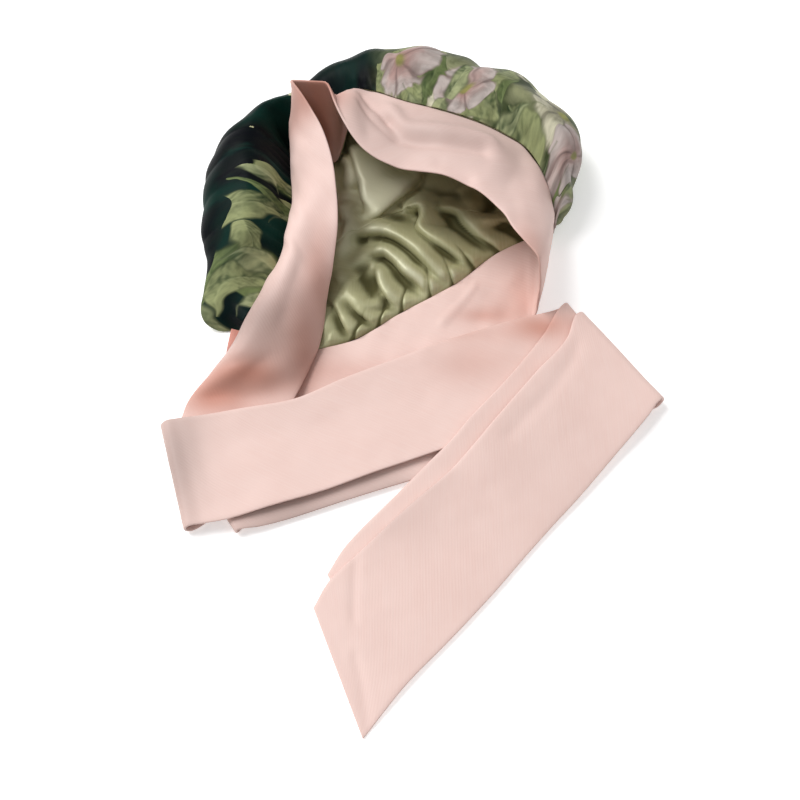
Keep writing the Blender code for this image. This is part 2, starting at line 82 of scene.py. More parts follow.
# ---------------- fineness of the meshes
STRIP_STEP = 2.4  # spacing of a strip's rows along it
STRIP_COLUMNS = 33
TAB_STEP = 0.8
TAB_COLUMNS = 17
FOLD_STEPS = 10  # parts of a half turn where a tie folds over
EDGE_STEPS = 4  # parts of the half round along a strip's edge
END_TURNS = (35, 65, 84)  # degrees round a strip's end, where its thin last rows lie
GORE_STEP = 1.75  # spacing of a bag's gores along the mouth
CLOSING_COLUMNS = 34
CROWN_RINGS = 100
LINING_RINGS = 92

# ---------------- camera, from the photo's framing
CAMERA_ELEVATION = 60
CAMERA_DISTANCE = 0.8
CAMERA_LENS = 51.43
CAMERA_SENSOR = 36

# ---------------- studio, metres
FLOOR_SIDE = 30
FLOOR_Z = -0.0004
FLOOR_WHITE = (0.96, 0.96, 0.96)
FLOOR_GLOW = 0.34
WORLD_LIGHT = 0.29
LIGHTS_TARGET = (0, 0.03, 0)
LIGHTS = (  # name, place and side, watts
    ("key", (-2.15, 1.25, 3.1), 2.4, 148),
    ("side", (1.7, 0.7, 2.3), 1.6, 9),
    ("fill", (-0.5, -1.6, 2.4), 1.6, 7),
)

# ---------------- colours of the cloths
# Blush satin: two mottled tones, its streaks and threads, and its painted shade: coral where light bounces
# between layers, grey elsewhere.
BLUSH = (0.8, 0.574, 0.517)
BLUSH_LIGHT = (0.832, 0.61, 0.553)
BLUSH_STREAK = (0.85, 0.66, 0.61)
BLUSH_THREAD = (0.7, 0.47, 0.41)
BLUSH_PAINTED_CORAL_SHADE = (0.56, 0.25, 0.185)
BLUSH_SHADE = (0.14, 0.108, 0.096)
BLUSH_SHEEN = (1, 0.88, 0.84)
# Sage satin, with its painted highlight for crests and painted shade for valleys.
SAGE = (0.39, 0.38, 0.2)
SAGE_LIGHT = (0.46, 0.45, 0.255)
SAGE_STREAK = (0.6, 0.58, 0.37)
SAGE_PAINTED_HIGHLIGHT = (0.78, 0.77, 0.56)
SAGE_PAINTED_SHADE = (0.055, 0.05, 0.014)
SAGE_SHEEN = (0.95, 0.95, 0.8)
# Coral satin: the blush cloth as it looks in shade, painted on the seam tab, with darker painted shade
# towards its lower end.
TAB_PAINTED_SHADE = (0.64, 0.24, 0.18)
TAB_DARKER_PAINTED_SHADE = (0.42, 0.13, 0.1)
CORAL_STREAK = (0.8, 0.42, 0.34)
# The print: its ground, washes and shade, then the colours of its motifs.
NIGHT = (0.0016, 0.0022, 0.0045)
NIGHT_GREEN = (0.002, 0.026, 0.019)
TEAL_WASH = (0.006, 0.05, 0.036)
OLIVE_DARK = (0.045, 0.06, 0.022)
OLIVE_LIGHT = (0.3, 0.31, 0.17)
BRUSH_SHADE = (0.01, 0.016, 0.01)
# Dark and light of a leaf, and rim, depth and heart of a blossom.
DEEP_LEAF = ((0.02, 0.04, 0.014), (0.15, 0.19, 0.075))
BROAD_LEAF = ((0.022, 0.045, 0.018), (0.3, 0.325, 0.155))
SMALL_LEAF = ((0.035, 0.065, 0.028), (0.35, 0.375, 0.2))
CREAM_BLOSSOM = ((0.6, 0.57, 0.42), (0.26, 0.24, 0.15), (0.3, 0.3, 0.08))
ROSE_BLOSSOM = ((0.52, 0.45, 0.42), (0.4, 0.25, 0.225), (0.26, 0.25, 0.07))
# How far the brush sways the print's outlines, mm.
PAINT_SWAY = 34
WHITE = (1, 1, 1)

# ---------------- the rows of the tables
# A cross section of a strip: its edge at the seam, its rim, and how far its middle bows outwards.
Section = namedtuple("Section", "name seam rim bow", defaults=(0,))
# A half turn of a tie: the ends of its fold line, and their heights coming in and going out.
Fold = namedtuple("Fold", "name seam rim z_in z_out")
# The crown behind a station of the mouth: the puff's top, its widest place, and where it turns under.
Gore = namedtuple("Gore", "station crest outline tuck")
# A valley in the puff: its direction from the pole and its half width in degrees, and its depth.
Dent = namedtuple("Dent", "name angle depth width")
# A shift of the lining near a station of the mouth, and how far along the seam it reaches.
Ease = namedtuple("Ease", "station reach shift")
# A raised (or, with a height below 0, sunk) line on a strip: its height, its half width and its
# points as (station, mm further along, share of the width).
Ripple = namedtuple("Ripple", "name height width points")
# A patch of painted light: its middle and its reach. On a strip it is painted coral shade, or painted
# grey shade with a strength below 0. On the lining it is painted shade, or a painted highlight below 0.
Tint = namedtuple("Tint", "place reach strength")
# A fold of the lining, seen from above: its height, the widths of its gentle side (on the left of
# its line) and its steep side, and the line of its top, for most up to the seam.
Ridge = namedtuple("Ridge", "name height gentle steep points")
# A row of puckers round the mouth: their pitch, their seed, their height, the share of it that lies
# below the plain surface, and the rings where they start, are full, start to fade and are gone.
Gathers = namedtuple("Gathers", "pitch seed height below rings")
# The seam of the mouth as gores: each one's place along it and its first point, the place of each
# station, and the seam's length.
Mouth = namedtuple("Mouth", "places starts stations length")

BAND = [
    Section("joint_right", (-84, 27, 0.9), (-67, -43, 0.8)),
    Section("front_left", (-65, 37, 2.2), (-50, -37, 0.8)),
    Section("front_mid_left", (-33, 48, 2.2), (-16, -23, 0.8)),
    Section("front_middle", (2, 72, 2.2), (22, -2, 0.8)),
    Section("front_mid_right", (41, 97, 2.2), (58, 23, 0.8)),
    Section("front_right", (76, 127, 2.4), (82, 50, 0.8)),
    Section("right_floor", (103, 139, 4), (95, 64, 0.9)),
    Section("right_turn", (112, 136, 10), (100, 72, 8), 1),
    Section("right_bend", (113.3, 137.6, 14), (99.6, 73.6, 20), 1.5),
    Section("right_low", (114, 140, 18), (99, 76, 32), 2),
    Section("right_rise", (113, 149, 26), (96, 82, 56), 3),
    Section("right_shoulder", (108, 167, 36), (82, 99, 62), 2),
    Section("right_top", (95, 190, 44), (71, 119, 62)),
    Section("top_right", (75, 202, 50), (56, 135.5, 64), 5),
    Section("top_mid_right", (38, 217, 55), (32, 149, 65), 6),
    Section("top_middle", (0, 230, 55), (-1, 158.5, 62), 3),
    Section("top_left", (-22, 243, 51), (-23, 170, 65), 4),
    Section("peak_right_low", (-35, 249, 45), (-37, 187, 69), 11),
    Section("peak_right", (-41, 231, 26), (-47, 209, 73), 17),
    Section("peak_corner_right", (-51, 211, 9), (-56, 230, 74), 6),
    Section("peak_corner_left", (-77, 228, 10), (-81, 232, 74), 4),
    Section("left_peak", (-86, 223, 13), (-74, 223, 71), 3),
    Section("left_high", (-84, 209, 18), (-64, 207, 66), 6),
    Section("left_upper", (-82, 188, 21), (-54, 182, 64), 9),
    Section("left_middle", (-79, 166, 20), (-47.5, 153, 57), 11),
    Section("left_mid_low", (-77, 146, 17), (-45.5, 121, 46), 17.5),
    Section("left_low", (-83, 119, 16), (-48.5, 97, 30), 22),
    Section("left_lower", (-95, 88.5, 16), (-52, 81.5, 20), 22),
    Section("left_foot", (-109, 55, 18), (-55, 63.5, 12), 19),
    Section("leaving", (-121, 26.5, 17), (-58, 41.5, 8), 17),
    Section("turning", (-131, 14.5, 12), (-65, 19.5, 7), 15.5),
    Section("dipping", (-146, -4, 6), (-75, -6, 7), 3),
    Section("joint_left", (-151.5, -26, 5.2), (-88, -44, 3.6)),
]
# The bags are sewn to the band from the first to the second of these stations.
SEWN = ("front_left", "left_foot")

TIE_RIGHT = [
    Section("joint", (-84.4, 26.8, 0.9), (-67.4, -43.2, 0.8)),
    Section("under", (-122, 2, 0.8), (-102, -66, 0.8)),
    Fold("left_fold", (-163, -25), (-140.5, -100), (0.8, 0.8), (12.6, 9.6)),
    Section("across_start", (-139, -21, 13.4), (-117, -95.5, 10), 1.5),
    Section("across_left", (-109, -15, 13.4), (-84, -84.5, 9.8), 1.5),
    Section("across_mid_left", (-76, -8, 12.4), (-52, -74, 9.4), 1.5),
    Section("across_middle", (-40, 10, 11.2), (-17, -60, 9), 1.5),
    Section("across_mid_right", (0, 28, 10.6), (22, -45, 8.6), 1.5),
    Section("across_right", (40, 45, 9.6), (62, -29, 8), 1),
    Section("across_end", (80, 61, 8), (108, -13, 6)),
    Fold("right_fold", (121.5, 76), (162, 9), (5, 4.4), (9.4, 8)),
    Section("back_start", (103, 47, 11.8), (156, -4, 7.4)),
    Section("back_high", (74, 8, 13.2), (130, -37, 4.6)),
    Section("back_over", (48, -22, 13.2), (104, -68, 3)),
    Section("back_edge", (36, -37, 11.4), (92, -83, 2)),
    Section("back_off", (20, -53, 7.6), (77, -100, 1.2)),
    Section("back_down", (0, -73, 3.4), (57, -120, 0.8)),
    Section("back_low", (-37, -114, 0.9), (20, -161, 0.8)),
    Section("end", (-46, -130, 0.8), (-9, -197, 0.8)),
]

TIE_LEFT = [
    Section("joint", (-151.6, -26.5, 5.2), (-88.3, -44.5, 3.6)),
    Fold("left_fold", (-152, -35), (-107, -101.5), (5.2, 2.9), (9, 6.2)),
    Section("across_start", (-121, -26, 9.2), (-92, -97.5, 5)),
    Section("across_left", (-100, -20, 9.2), (-76, -92.5, 3.6)),
    Section("across_mid_left", (-51, -3, 8.2), (-27, -75, 3.4)),
    Section("across_middle", (20, 21, 6), (44.5, -51, 3.2)),
    Section("across_right", (70, 40, 5), (96, -33, 2.6)),
    Section("across_end", (104, 52, 2), (136, -19, 1)),
    Fold("right_fold", (132.5, 67), (182.5, -3), (0.8, 0.8), (13.4, 10.6)),
    Section("back_start", (119, 42, 15.8), (170, -17, 10.2)),
    Section("back_high", (94, 11, 17.6), (144, -47, 6.6)),
    Section("back_over", (64, -26, 17), (116, -79, 4)),
    Section("back_edge", (50, -43, 14.4), (101, -95, 3.2)),
    Section("back_off", (34, -60, 9.4), (84, -114, 2.8)),
    Section("back_down", (5, -86, 6.6), (58, -144, 2.8)),
    Section("back_low", (-21, -112, 4.8), (32, -172, 2.8)),
    Section("back_tip", (-46, -138, 3.8), (3, -202, 3.2)),
    Section("end", (-54, -153, 2.6), (-22, -233, 0.9)),
]

SEAM_TAB = [
    Section("top", (-121.2, 56, 4.6), (-112.5, 54, 3.6)),
    Section("middle", (-122.6, 44.5, 4.2), (-115.5, 42.5, 3.4), 0.6),
    Section("bottom", (-123.6, 33.5, 4), (-119.6, 31.5, 3.6)),
]

# The middle of the seam's closing stretch.
UNDER_BAND = (-89, 45, 2.2)

CROWN = [
    Gore("front_left", (-60, 50, 0.6), (-50, 66, 0.6), (-36, 92)),
    Gore("front_mid_left", (-28, 60, 0.6), (-22, 76, 0.6), (-14, 100)),
    Gore("front_middle", (3, 84, 0.6), (5, 98, 0.6), (7, 118)),
    Gore("front_mid_right", (38, 108, 0.6), (34, 119, 0.6), (28, 134)),
    Gore("front_right", (69, 134, 0.6), (61, 140, 0.6), (46, 147)),
    Gore("right_floor", (101, 148, 4), (98, 153, 2), (84, 156)),
    Gore("right_turn", (116.5, 145, 15), (119, 149, 8), (107, 156)),
    Gore("right_low", (119.5, 150, 26.5), (126, 155, 13), (115, 160)),
    Gore("right_rise", (122.5, 159, 38), (132, 165, 18), (120, 169)),
    Gore("right_shoulder", (124, 180, 52), (138, 187, 22), (124, 190)),
    Gore("right_top", (114, 209, 58), (138, 213, 26), (123, 213)),
    Gore("top_right", (93, 234, 60), (126, 246, 28), (112, 242)),
    Gore("top_mid_right", (52, 258, 62), (84, 286, 28), (74, 274)),
    Gore("top_middle", (6, 270, 62), (20, 305, 28), (16, 290)),
    Gore("top_left", (-24, 274, 58), (-24, 302, 28), (-22, 286)),
    Gore("peak_right_low", (-41, 273, 52), (-50, 291, 28), (-44, 277)),
    Gore("peak_right", (-53, 268, 45), (-67, 282, 26), (-59, 268)),
    Gore("peak_corner_right", (-68, 260, 40), (-82, 272, 26), (-73, 259)),
    Gore("peak_corner_left", (-94, 246, 42), (-107, 248, 26), (-95, 240)),
    Gore("left_peak", (-105, 232, 48), (-127, 227, 28), (-112, 223)),
    Gore("left_high", (-112, 214, 52), (-142, 204, 26), (-126, 204)),
    Gore("left_upper", (-114, 194, 52), (-147, 182, 24), (-130, 182)),
    Gore("left_middle", (-113, 170, 50), (-148, 160, 22), (-131, 162)),
    Gore("left_mid_low", (-112, 146, 46), (-146, 134, 20), (-130, 138)),
    Gore("left_low", (-114, 120, 42), (-142, 110, 18), (-127, 116)),
    Gore("left_lower", (-122, 92, 29), (-148, 82, 14), (-130, 92)),
    Gore("left_foot", (-124, 64, 12), (-141, 61, 7), (-123, 75)),
    Gore("closing_left", (-115, 58, 1.2), (-128, 57, 0.8), (-114, 77)),
    Gore("under_band", (-83, 58, 0.6), (-73, 72, 0.6), (-57, 95)),
]
# The middle of the bags' round cloth, seen from above.
POLE = (5, 165)
EASE = Ease("right_bend", 28, (-1.1, 1.4, 0))
DENTS = [
    Dent("right_notch", 62, 7, 4.5),
    Dent("left_notch", 206, 7, 6),
    Dent("right_ridge_gap", 6, 5, 5),
]
PUFF_RINGS = (0, 0.4, 1.6, 2.8)
FINE_GATHERS = Gathers(9, 11, 1.9, 0.4, (-0.1, 0.12, 0.2, 0.8))
BROAD_GATHERS = Gathers(31, 23, 1.5, 0.45, PUFF_RINGS)
LINING_GATHERS = Gathers(10, 47, 1.8, 0, (-0.1, 0.12, 0.3, 1.3))
GATHERS_STRAY = 1.7  # how far the puckers stray from even spacing
GATHERS_HEIGHT = (0.75, 0.35)  # their mean height and how much it varies
GATHERS_CREASE = 0.8  # below 1 sharpens the creases between them

BAND_RIPPLES = [
    Ripple("top_groove", -4.2, 7, [
        ("top_middle", 7, 0.42), ("top_middle", -2, 0.6), ("top_middle", -15, 0.63),
        ("top_mid_right", 7, 0.62), ("top_right", 20, 0.56), ("top_right", 8, 0.5)]),
    Ripple("top_ridge", 3.2, 7.5, [
        ("top_middle", 6, 0.24), ("top_middle", -2, 0.4), ("top_middle", -15, 0.43),
        ("top_mid_right", 7, 0.42), ("top_right", 20, 0.36), ("top_right", 5, 0.3)]),
    Ripple("rim_groove", -1.8, 6.5, [("top_mid_right", 4, 0.9), ("top_mid_right", -22, 0.95)]),
    Ripple("peak_ray_1", -2, 4.5, [("top_left", 8, 0.25), ("top_middle", 10, 0.42)]),
    Ripple("peak_ray_2", -1.8, 4.5, [("top_left", 10, 0.45), ("top_middle", 4, 0.66)]),
    Ripple("front_crease", 1, 4, [("front_mid_right", 14, 0.06), ("front_right", 2, 0.3)]),
    Ripple("front_fold", -1.1, 3.5, [("front_mid_right", -18, 0.3), ("front_mid_right", 14, 0.16)]),
    Ripple("right_crease", -0.8, 3, [("right_floor", -3, 0.12), ("right_floor", 0, 0.9)]),
    Ripple("left_hollow", -3, 14, [
        ("left_mid_low", -4, 0.86), ("left_low", 0, 0.72), ("left_lower", 0, 0.58),
        ("left_foot", 0, 0.5), ("leaving", 0, 0.48), ("turning", 0, 0.5)]),
    Ripple("foot_ridge", 2.5, 9, [("left_lower", 4, 0.1), ("left_foot", 6, 0.14), ("leaving", 4, 0.16)]),
]
TIE_RIGHT_RIPPLES = [
    Ripple("left_roll", 0.5, 4, [("across_start", -14, 0.02), ("across_start", -12, 0.98)]),
    Ripple("right_valley", -2.2, 13, [
        ("across_mid_right", 20, 0.02), ("across_right", 18, 0.35), ("across_end", 8, 0.85)]),
    Ripple("long_soft", 0.6, 14, [("across_start", 0, 0.3), ("across_mid_right", 0, 0.42)]),
]
TIE_LEFT_RIPPLES = [
    Ripple("fold_crease", -0.7, 5, [
        ("back_start", 0, 0.12), ("back_high", 0, 0.2), ("back_over", 0, 0.18)]),
    Ripple("end_crease", -0.8, 3, [("back_low", 12, 0.02), ("back_tip", 0, 0.35)]),
    Ripple("tip_crease", -0.8, 3, [("back_tip", 14, 0.55), ("end", -4, 0.98)]),
]
# Painted coral shade where the band's left end turns into the left tie.
LEFT_JOINT_PAINTED_SHADE = [
    Tint((-128, -3), (26, 14), 1),
    Tint((-106, 9), (32, 12), 1),
]
# Painted shade on the band, coral or grey, where it lies out of the light.
BAND_PAINTED_SHADE = [
    Tint((-96, 46), (32, 30), -0.85),
    Tint((-84, 40), (26, 26), 0.35),
    *LEFT_JOINT_PAINTED_SHADE,
    Tint((-58, 85), (10, 36), 0.55),
    Tint((-68, 34), (10, 30), 0.6),
    Tint((20, 192), (70, 36), -0.5),
    Tint((-30, 215), (22, 22), -0.25),
    Tint((-62, 226), (24, 20), 1),
    Tint((91, 86), (14, 24), 0.45),
    Tint((-50, 22), (34, 12), 0.35),
    Tint((73, 72), (24, 12), 0.3),
    Tint((60, 70), (20, 6), 0.45),
]
# Painted shade on the right tie, coral or grey, where it lies out of the light.
TIE_RIGHT_PAINTED_SHADE = [
    Tint((101, 56), (24, 13), 0.8),
    Tint((49, 24), (34, 18), 0.32),
    Tint((45, 50), (34, 8), 0.3),
    Tint((-152, -58), (20, 56), -0.8),
]
# Painted shade on the left tie, coral or grey, where it lies out of the light.
TIE_LEFT_PAINTED_SHADE = [
    *LEFT_JOINT_PAINTED_SHADE,
    Tint((-66, -89), (66, 20), -0.7),
    Tint((-13, -67), (40, 12), -0.4),
]

LINING_RIDGES = [
    Ridge("lobe_left", 16, 30, 7, [
        (-38, 235), (-31, 213), (-27, 195), (-24, 181), (-25, 164), (-26, 151), (-25, 144)]),
    Ridge("lobe_right", 14, 30, 7, [(-31, 149), (-20, 158), (-9, 170), (1, 183), (12, 198)]),
    Ridge("left_lump", 11, 9, 8, [(-43, 221), (-36, 203), (-36, 188), (-38, 178)]),
    Ridge("left_fold", 11, 9, 9, [(-45, 175), (-39, 159), (-35, 150), (-38, 137), (-44, 128)]),
    Ridge("s_ridge", 14, 15, 7, [
        (-2, 165), (8, 167), (18, 168), (21, 158), (18, 147), (24, 138), (35, 130), (47, 121), (57, 112)]),
    Ridge("loop", 13, 14, 7, [(26, 156), (28, 161), (35, 165), (45, 163), (53, 152), (63, 140), (75, 129)]),
    Ridge("right_hook", 12, 12, 6, [
        (50, 186), (54, 169), (59, 156), (66, 151), (75, 154), (83, 159), (90, 150)]),
    Ridge("long_s", 16, 17, 7, [
        (-39, 138), (-29, 143), (-14, 143), (-2, 138), (11, 128), (22, 115), (32, 104), (41, 99)]),
    Ridge("second", 13, 14, 6, [
        (-26, 119), (-21, 124), (-11, 124), (-3, 118), (6, 107), (17, 97), (24, 86)]),
    Ridge("sharp", 10, 12, 4, [(-20, 111), (-15, 107), (-12, 95), (-6, 83), (3, 74)]),
    Ridge("u_left", 11, 10, 6, [(-48, 111), (-39, 94), (-31, 82), (-23, 76), (-17, 77), (-15, 84)]),
    Ridge("fan_a", 9, 11, 4, [(-50, 96), (-38, 82), (-26, 69), (-12, 60)]),
    Ridge("fan_b", 9, 10, 4, [(-52, 89), (-43, 73), (-36, 57), (-30, 48)]),
    Ridge("fan_c", 8, 9, 4, [(-56, 77), (-52, 59), (-53, 45)]),
]
# The folds whose ends make no pleat at the seam.
INNER_RIDGES = ("lobe_left", "lobe_right", "left_lump", "left_fold", "u_left", "right_hook")
WIDER = 1.25  # all gentle sides are so much wider than the table says
GENTLE_POWERS = (1.5, 1.3)  # these shape a fold's two sides
STEEP_POWERS = (2, 1.2)
RIDGE_START = 0.35  # share of a fold's height that it has at its inner end
RIDGE_RISEN = 0.25  # share of its length after which it has all of it
RIDGE_SINKS = 0.6  # and after which it sinks again
RIDGE_END = 0.42  # share of its height that is left at its other end
RIDGE_BLEND = 1  # how softly two folds meet, mm
RIDGE_LEAN = 0.35  # how far a fold leans over its steep side, as a share of its height
RIDGE_SOFTENING = 3  # passes of averaging that round the folds
SEAM_PRESS = 12  # the seam presses the folds down this close to it
LOW_WALL = (9, 17)  # the folds fade out between these heights of the lining's wall
LAST_PLEAT = 16  # length of the last pleat
PLEAT_HEIGHT = 2.2
PLEAT_REACH = (0.6, 4, 5, 15)  # mm from the seam where it starts, is full, starts to fade and is gone
PLEAT_LINE = 6.5  # width of the line of painted shade where a pleat slips under the next
PLEAT_SHADE = 1.3  # how dark that painted shade is
PLEAT_SHADE_REACH = (6, 30)  # and between which distances from the seam it fades
DEEP_SOFTENING = 26  # passes of averaging that give the level round a place, for the painted shade and highlight
DEEP_VALLEY = 3  # millimetres below that level where the painted shade of a valley is darkest
PAINTED_CREST_HIGHLIGHT = 0.45  # how pale the painted highlight on a crest is, against how dark the painted shade of a valley as deep would be
# Patches of painted shade (above 0) and painted highlight (below 0) on the lining.
LINING_PAINTED_LIGHT_AND_SHADE = [
    Tint((-13, 186), (20, 26), -0.9),
    Tint((-46, 180), (15, 34), -0.9),
    Tint((-44, 140), (12, 22), -0.55),
    Tint((30, 98), (30, 13), -0.35),
    Tint((-38, 74), (24, 30), 0.42),
    Tint((-4, 155), (13, 6), 0.5),
    Tint((56, 156), (22, 18), 0.32),
    Tint((36, 124), (12, 6), 0.35),
]


# ---------------- curves
def monotone(places, values, wanted):
    """Values at the wanted places on a smooth curve through the rows that never overshoots them."""
    x, y = np.asarray(places, float), np.asarray(values, float)
    step = np.diff(x)[:, None]
    slope = np.diff(y, axis=0) / step
    before, after = slope[:-1], slope[1:]
    same_way = before * after > 0
    safe_before = np.where(same_way, before, 1)
    safe_after = np.where(same_way, after, 1)
    weight_before = 2 * step[1:] + step[:-1]
    weight_after = step[1:] + 2 * step[:-1]
    mean = (weight_before + weight_after) / (weight_before / safe_before + weight_after / safe_after)
    tangent = np.concatenate([slope[:1], np.where(same_way, mean, 0), slope[-1:]])
    wanted = np.atleast_1d(np.asarray(wanted, float))
    cell = np.clip(np.searchsorted(x, wanted, side="right") - 1, 0, len(x) - 2)
    h = (x[cell + 1] - x[cell])[:, None]
    t = (wanted - x[cell])[:, None] / h
    return (
        y[cell] * (2 * t**3 - 3 * t**2 + 1)
        + tangent[cell] * h * (t**3 - 2 * t**2 + t)
        + y[cell + 1] * (3 * t**2 - 2 * t**3)
        + tangent[cell + 1] * h * (t**3 - t**2)
    )


def unit(vectors):
    length = np.linalg.norm(vectors, axis=-1, keepdims=True)
    return vectors / np.maximum(length, 1e-9)


def ease_between(values, low, high):
    """0 below low, 1 above high and a smooth rise between them."""
    share = np.clip((np.asarray(values, float) - low) / (high - low), 0, 1)
    return share * share * (3 - 2 * share)


def hump(values, start, full, fading, gone):
    """1 between the inner two of four marks, 0 outside the outer two and smooth slopes between."""
    return ease_between(values, start, full) * (1 - ease_between(values, fading, gone))


def bell(distance, width):
    return np.exp(-((distance / width) ** 2))


def soft_noise(points, wavelength, seed, waves=9):
    """Smooth noise from about -1 to 1: a sum of plane waves in seeded directions."""
    random = np.random.default_rng(seed)
    points = np.asarray(points, float)
    total = np.zeros(points.shape[:-1])
    for _ in range(waves):
        direction = unit(random.normal(size=points.shape[-1]))
        length = wavelength * random.uniform(0.7, 1.5)
        total += np.sin(points @ direction * (TURN / length) + random.uniform(0, TURN))
    return total / math.sqrt(waves)


def run_of(points):
    """The distance along a line of points from its first to each of them."""
    return np.concatenate([[0], np.cumsum(np.linalg.norm(np.diff(points, axis=0), axis=1))])


def smooth_line(points, spacing=2):
    """A rounded line through the given points, as closely spaced points."""
    points = np.asarray(points, float)
    run = run_of(points)
    return monotone(run, points, np.linspace(0, run[-1], max(2, int(run[-1] / spacing))))


def line_distance(points, line):
    """How far each point is from a line of points, on which side (+1 is left), and how far along."""
    best = np.full(points.shape[:-1], np.inf)
    side, along = np.ones(best.shape), np.zeros(best.shape)
    run = run_of(line)
    for before, start, end in zip(run, line[:-1], line[1:]):
        length = np.linalg.norm(end - start)
        direction = (end - start) / length
        offset = points - start
        share = np.clip(offset @ direction, 0, length)
        distance = np.linalg.norm(offset - share[..., None] * direction, axis=-1)
        left = np.sign(direction[0] * offset[..., 1] - direction[1] * offset[..., 0])
        nearer = distance < best
        best = np.where(nearer, distance, best)
        side = np.where(nearer, left, side)
        along = np.where(nearer, before + share, along)
    return best, side, along / run[-1]


# ---------------- strips: band, ties and tab
def fold_rows(fold, before):
    """The half turn of a folded strip, as rows of (seam, rim, bow), from the layer coming in."""
    seam, rim = np.array(fold.seam), np.array(fold.rim)
    line = seam - rim
    back = unit(np.array([-line[1], line[0]]))
    middle_before = (np.array(before.seam[:2]) + np.array(before.rim[:2])) / 2
    if np.dot(middle_before - (seam + rim) / 2, back) < 0:
        back = -back
    rows = []
    for turn in np.linspace(0, math.pi, FOLD_STEPS + 1):
        ends = []
        for end, z_in, z_out in zip((seam, rim), fold.z_in, fold.z_out):
            radius = (z_out - z_in) / 2
            place = end + back * radius * (1 - math.sin(turn))
            ends.append((*place, z_in + radius * (1 - math.cos(turn))))
        rows.append((*ends, 0))
    return rows


def strip_lines(table, spacing):
    """A strip's smooth seam, rim, bow and outward side at even steps along its middle, with the place
    of each step and of each station."""
    rows, numbers = [], {}
    for number, row in enumerate(table):
        numbers[row.name] = len(rows)
        rows += fold_rows(row, table[number - 1]) if isinstance(row, Fold) else [row[1:]]
    run = run_of(np.array([(np.array(seam) + np.array(rim)) / 2 for seam, rim, _ in rows]))
    stations = {name: run[number] for name, number in numbers.items()}
    wanted = [0]
    for start, end in zip(run[:-1], run[1:]):
        parts = max(1, round((end - start) / spacing))
        wanted += [start + (end - start) * part / parts for part in range(1, parts + 1)]
    smooth = monotone(run, [[*seam, *rim, bow] for seam, rim, bow in rows], wanted)
    seam, rim, bow = smooth[:, 0:3], smooth[:, 3:6], smooth[:, 6:7]
    outward = unit(np.cross(np.gradient((seam + rim) / 2, axis=0), rim - seam))
    return np.array(wanted), seam, rim, bow, outward, stations


def strip_normals(grid):
    """The outward side of a strip's grid of points."""
    return unit(np.cross(np.gradient(grid, axis=0), np.gradient(grid, axis=1)))


def painted_patch_share(grid, painted_patch):
    """How much of a patch of painted light each place of a grid takes: 1 at its middle, fading over its
    reach.
    """
    away = (grid[..., :2] - np.array(painted_patch.place)) / np.array(painted_patch.reach)
    return np.exp(-(away**2).sum(axis=-1))


def strip_surface(table, ripples=(), painted_patches=(), waviness=0, seed=0, step=STRIP_STEP, columns=STRIP_COLUMNS):
    """The middle surface of a strip, and its cloth's values: mm along and across it, then painted coral and
    grey shade.
    """
    places, seam, rim, bow, outward, stations = strip_lines(table, step)
    across = np.linspace(0, 1, columns)
    skewed = across**ARCH_SKEW
    arch = (4 * skewed * (1 - skewed))[None, :, None]
    grid = seam[:, None] + (rim - seam)[:, None] * across[None, :, None] + (outward * bow)[:, None] * arch
    cloth = np.stack(np.broadcast_arrays(places[:, None], (across * STRIP_WIDTH)[None, :]), axis=-1)
    lift = waviness * soft_noise(cloth, BROAD_WAVES, seed)
    lift += 0.5 * waviness * soft_noise(cloth, FINE_WAVES, seed + 1)
    for ripple in ripples:
        line = [(stations[name] + further, share * STRIP_WIDTH) for name, further, share in ripple.points]
        distance, _, _ = line_distance(cloth, smooth_line(line))
        lift += ripple.height * bell(distance, ripple.width)
    # The share of the plain colour that each kind of painted shade leaves.
    plain = {"coral": np.ones(lift.shape), "grey": np.ones(lift.shape)}
    for painted_patch in painted_patches:
        plain["coral" if painted_patch.strength > 0 else "grey"] *= 1 - abs(painted_patch.strength) * painted_patch_share(grid, painted_patch)
    cloth = np.concatenate([cloth] + [(1 - share)[..., None] for share in plain.values()], axis=-1)
    return grid + strip_normals(grid) * lift[..., None], cloth


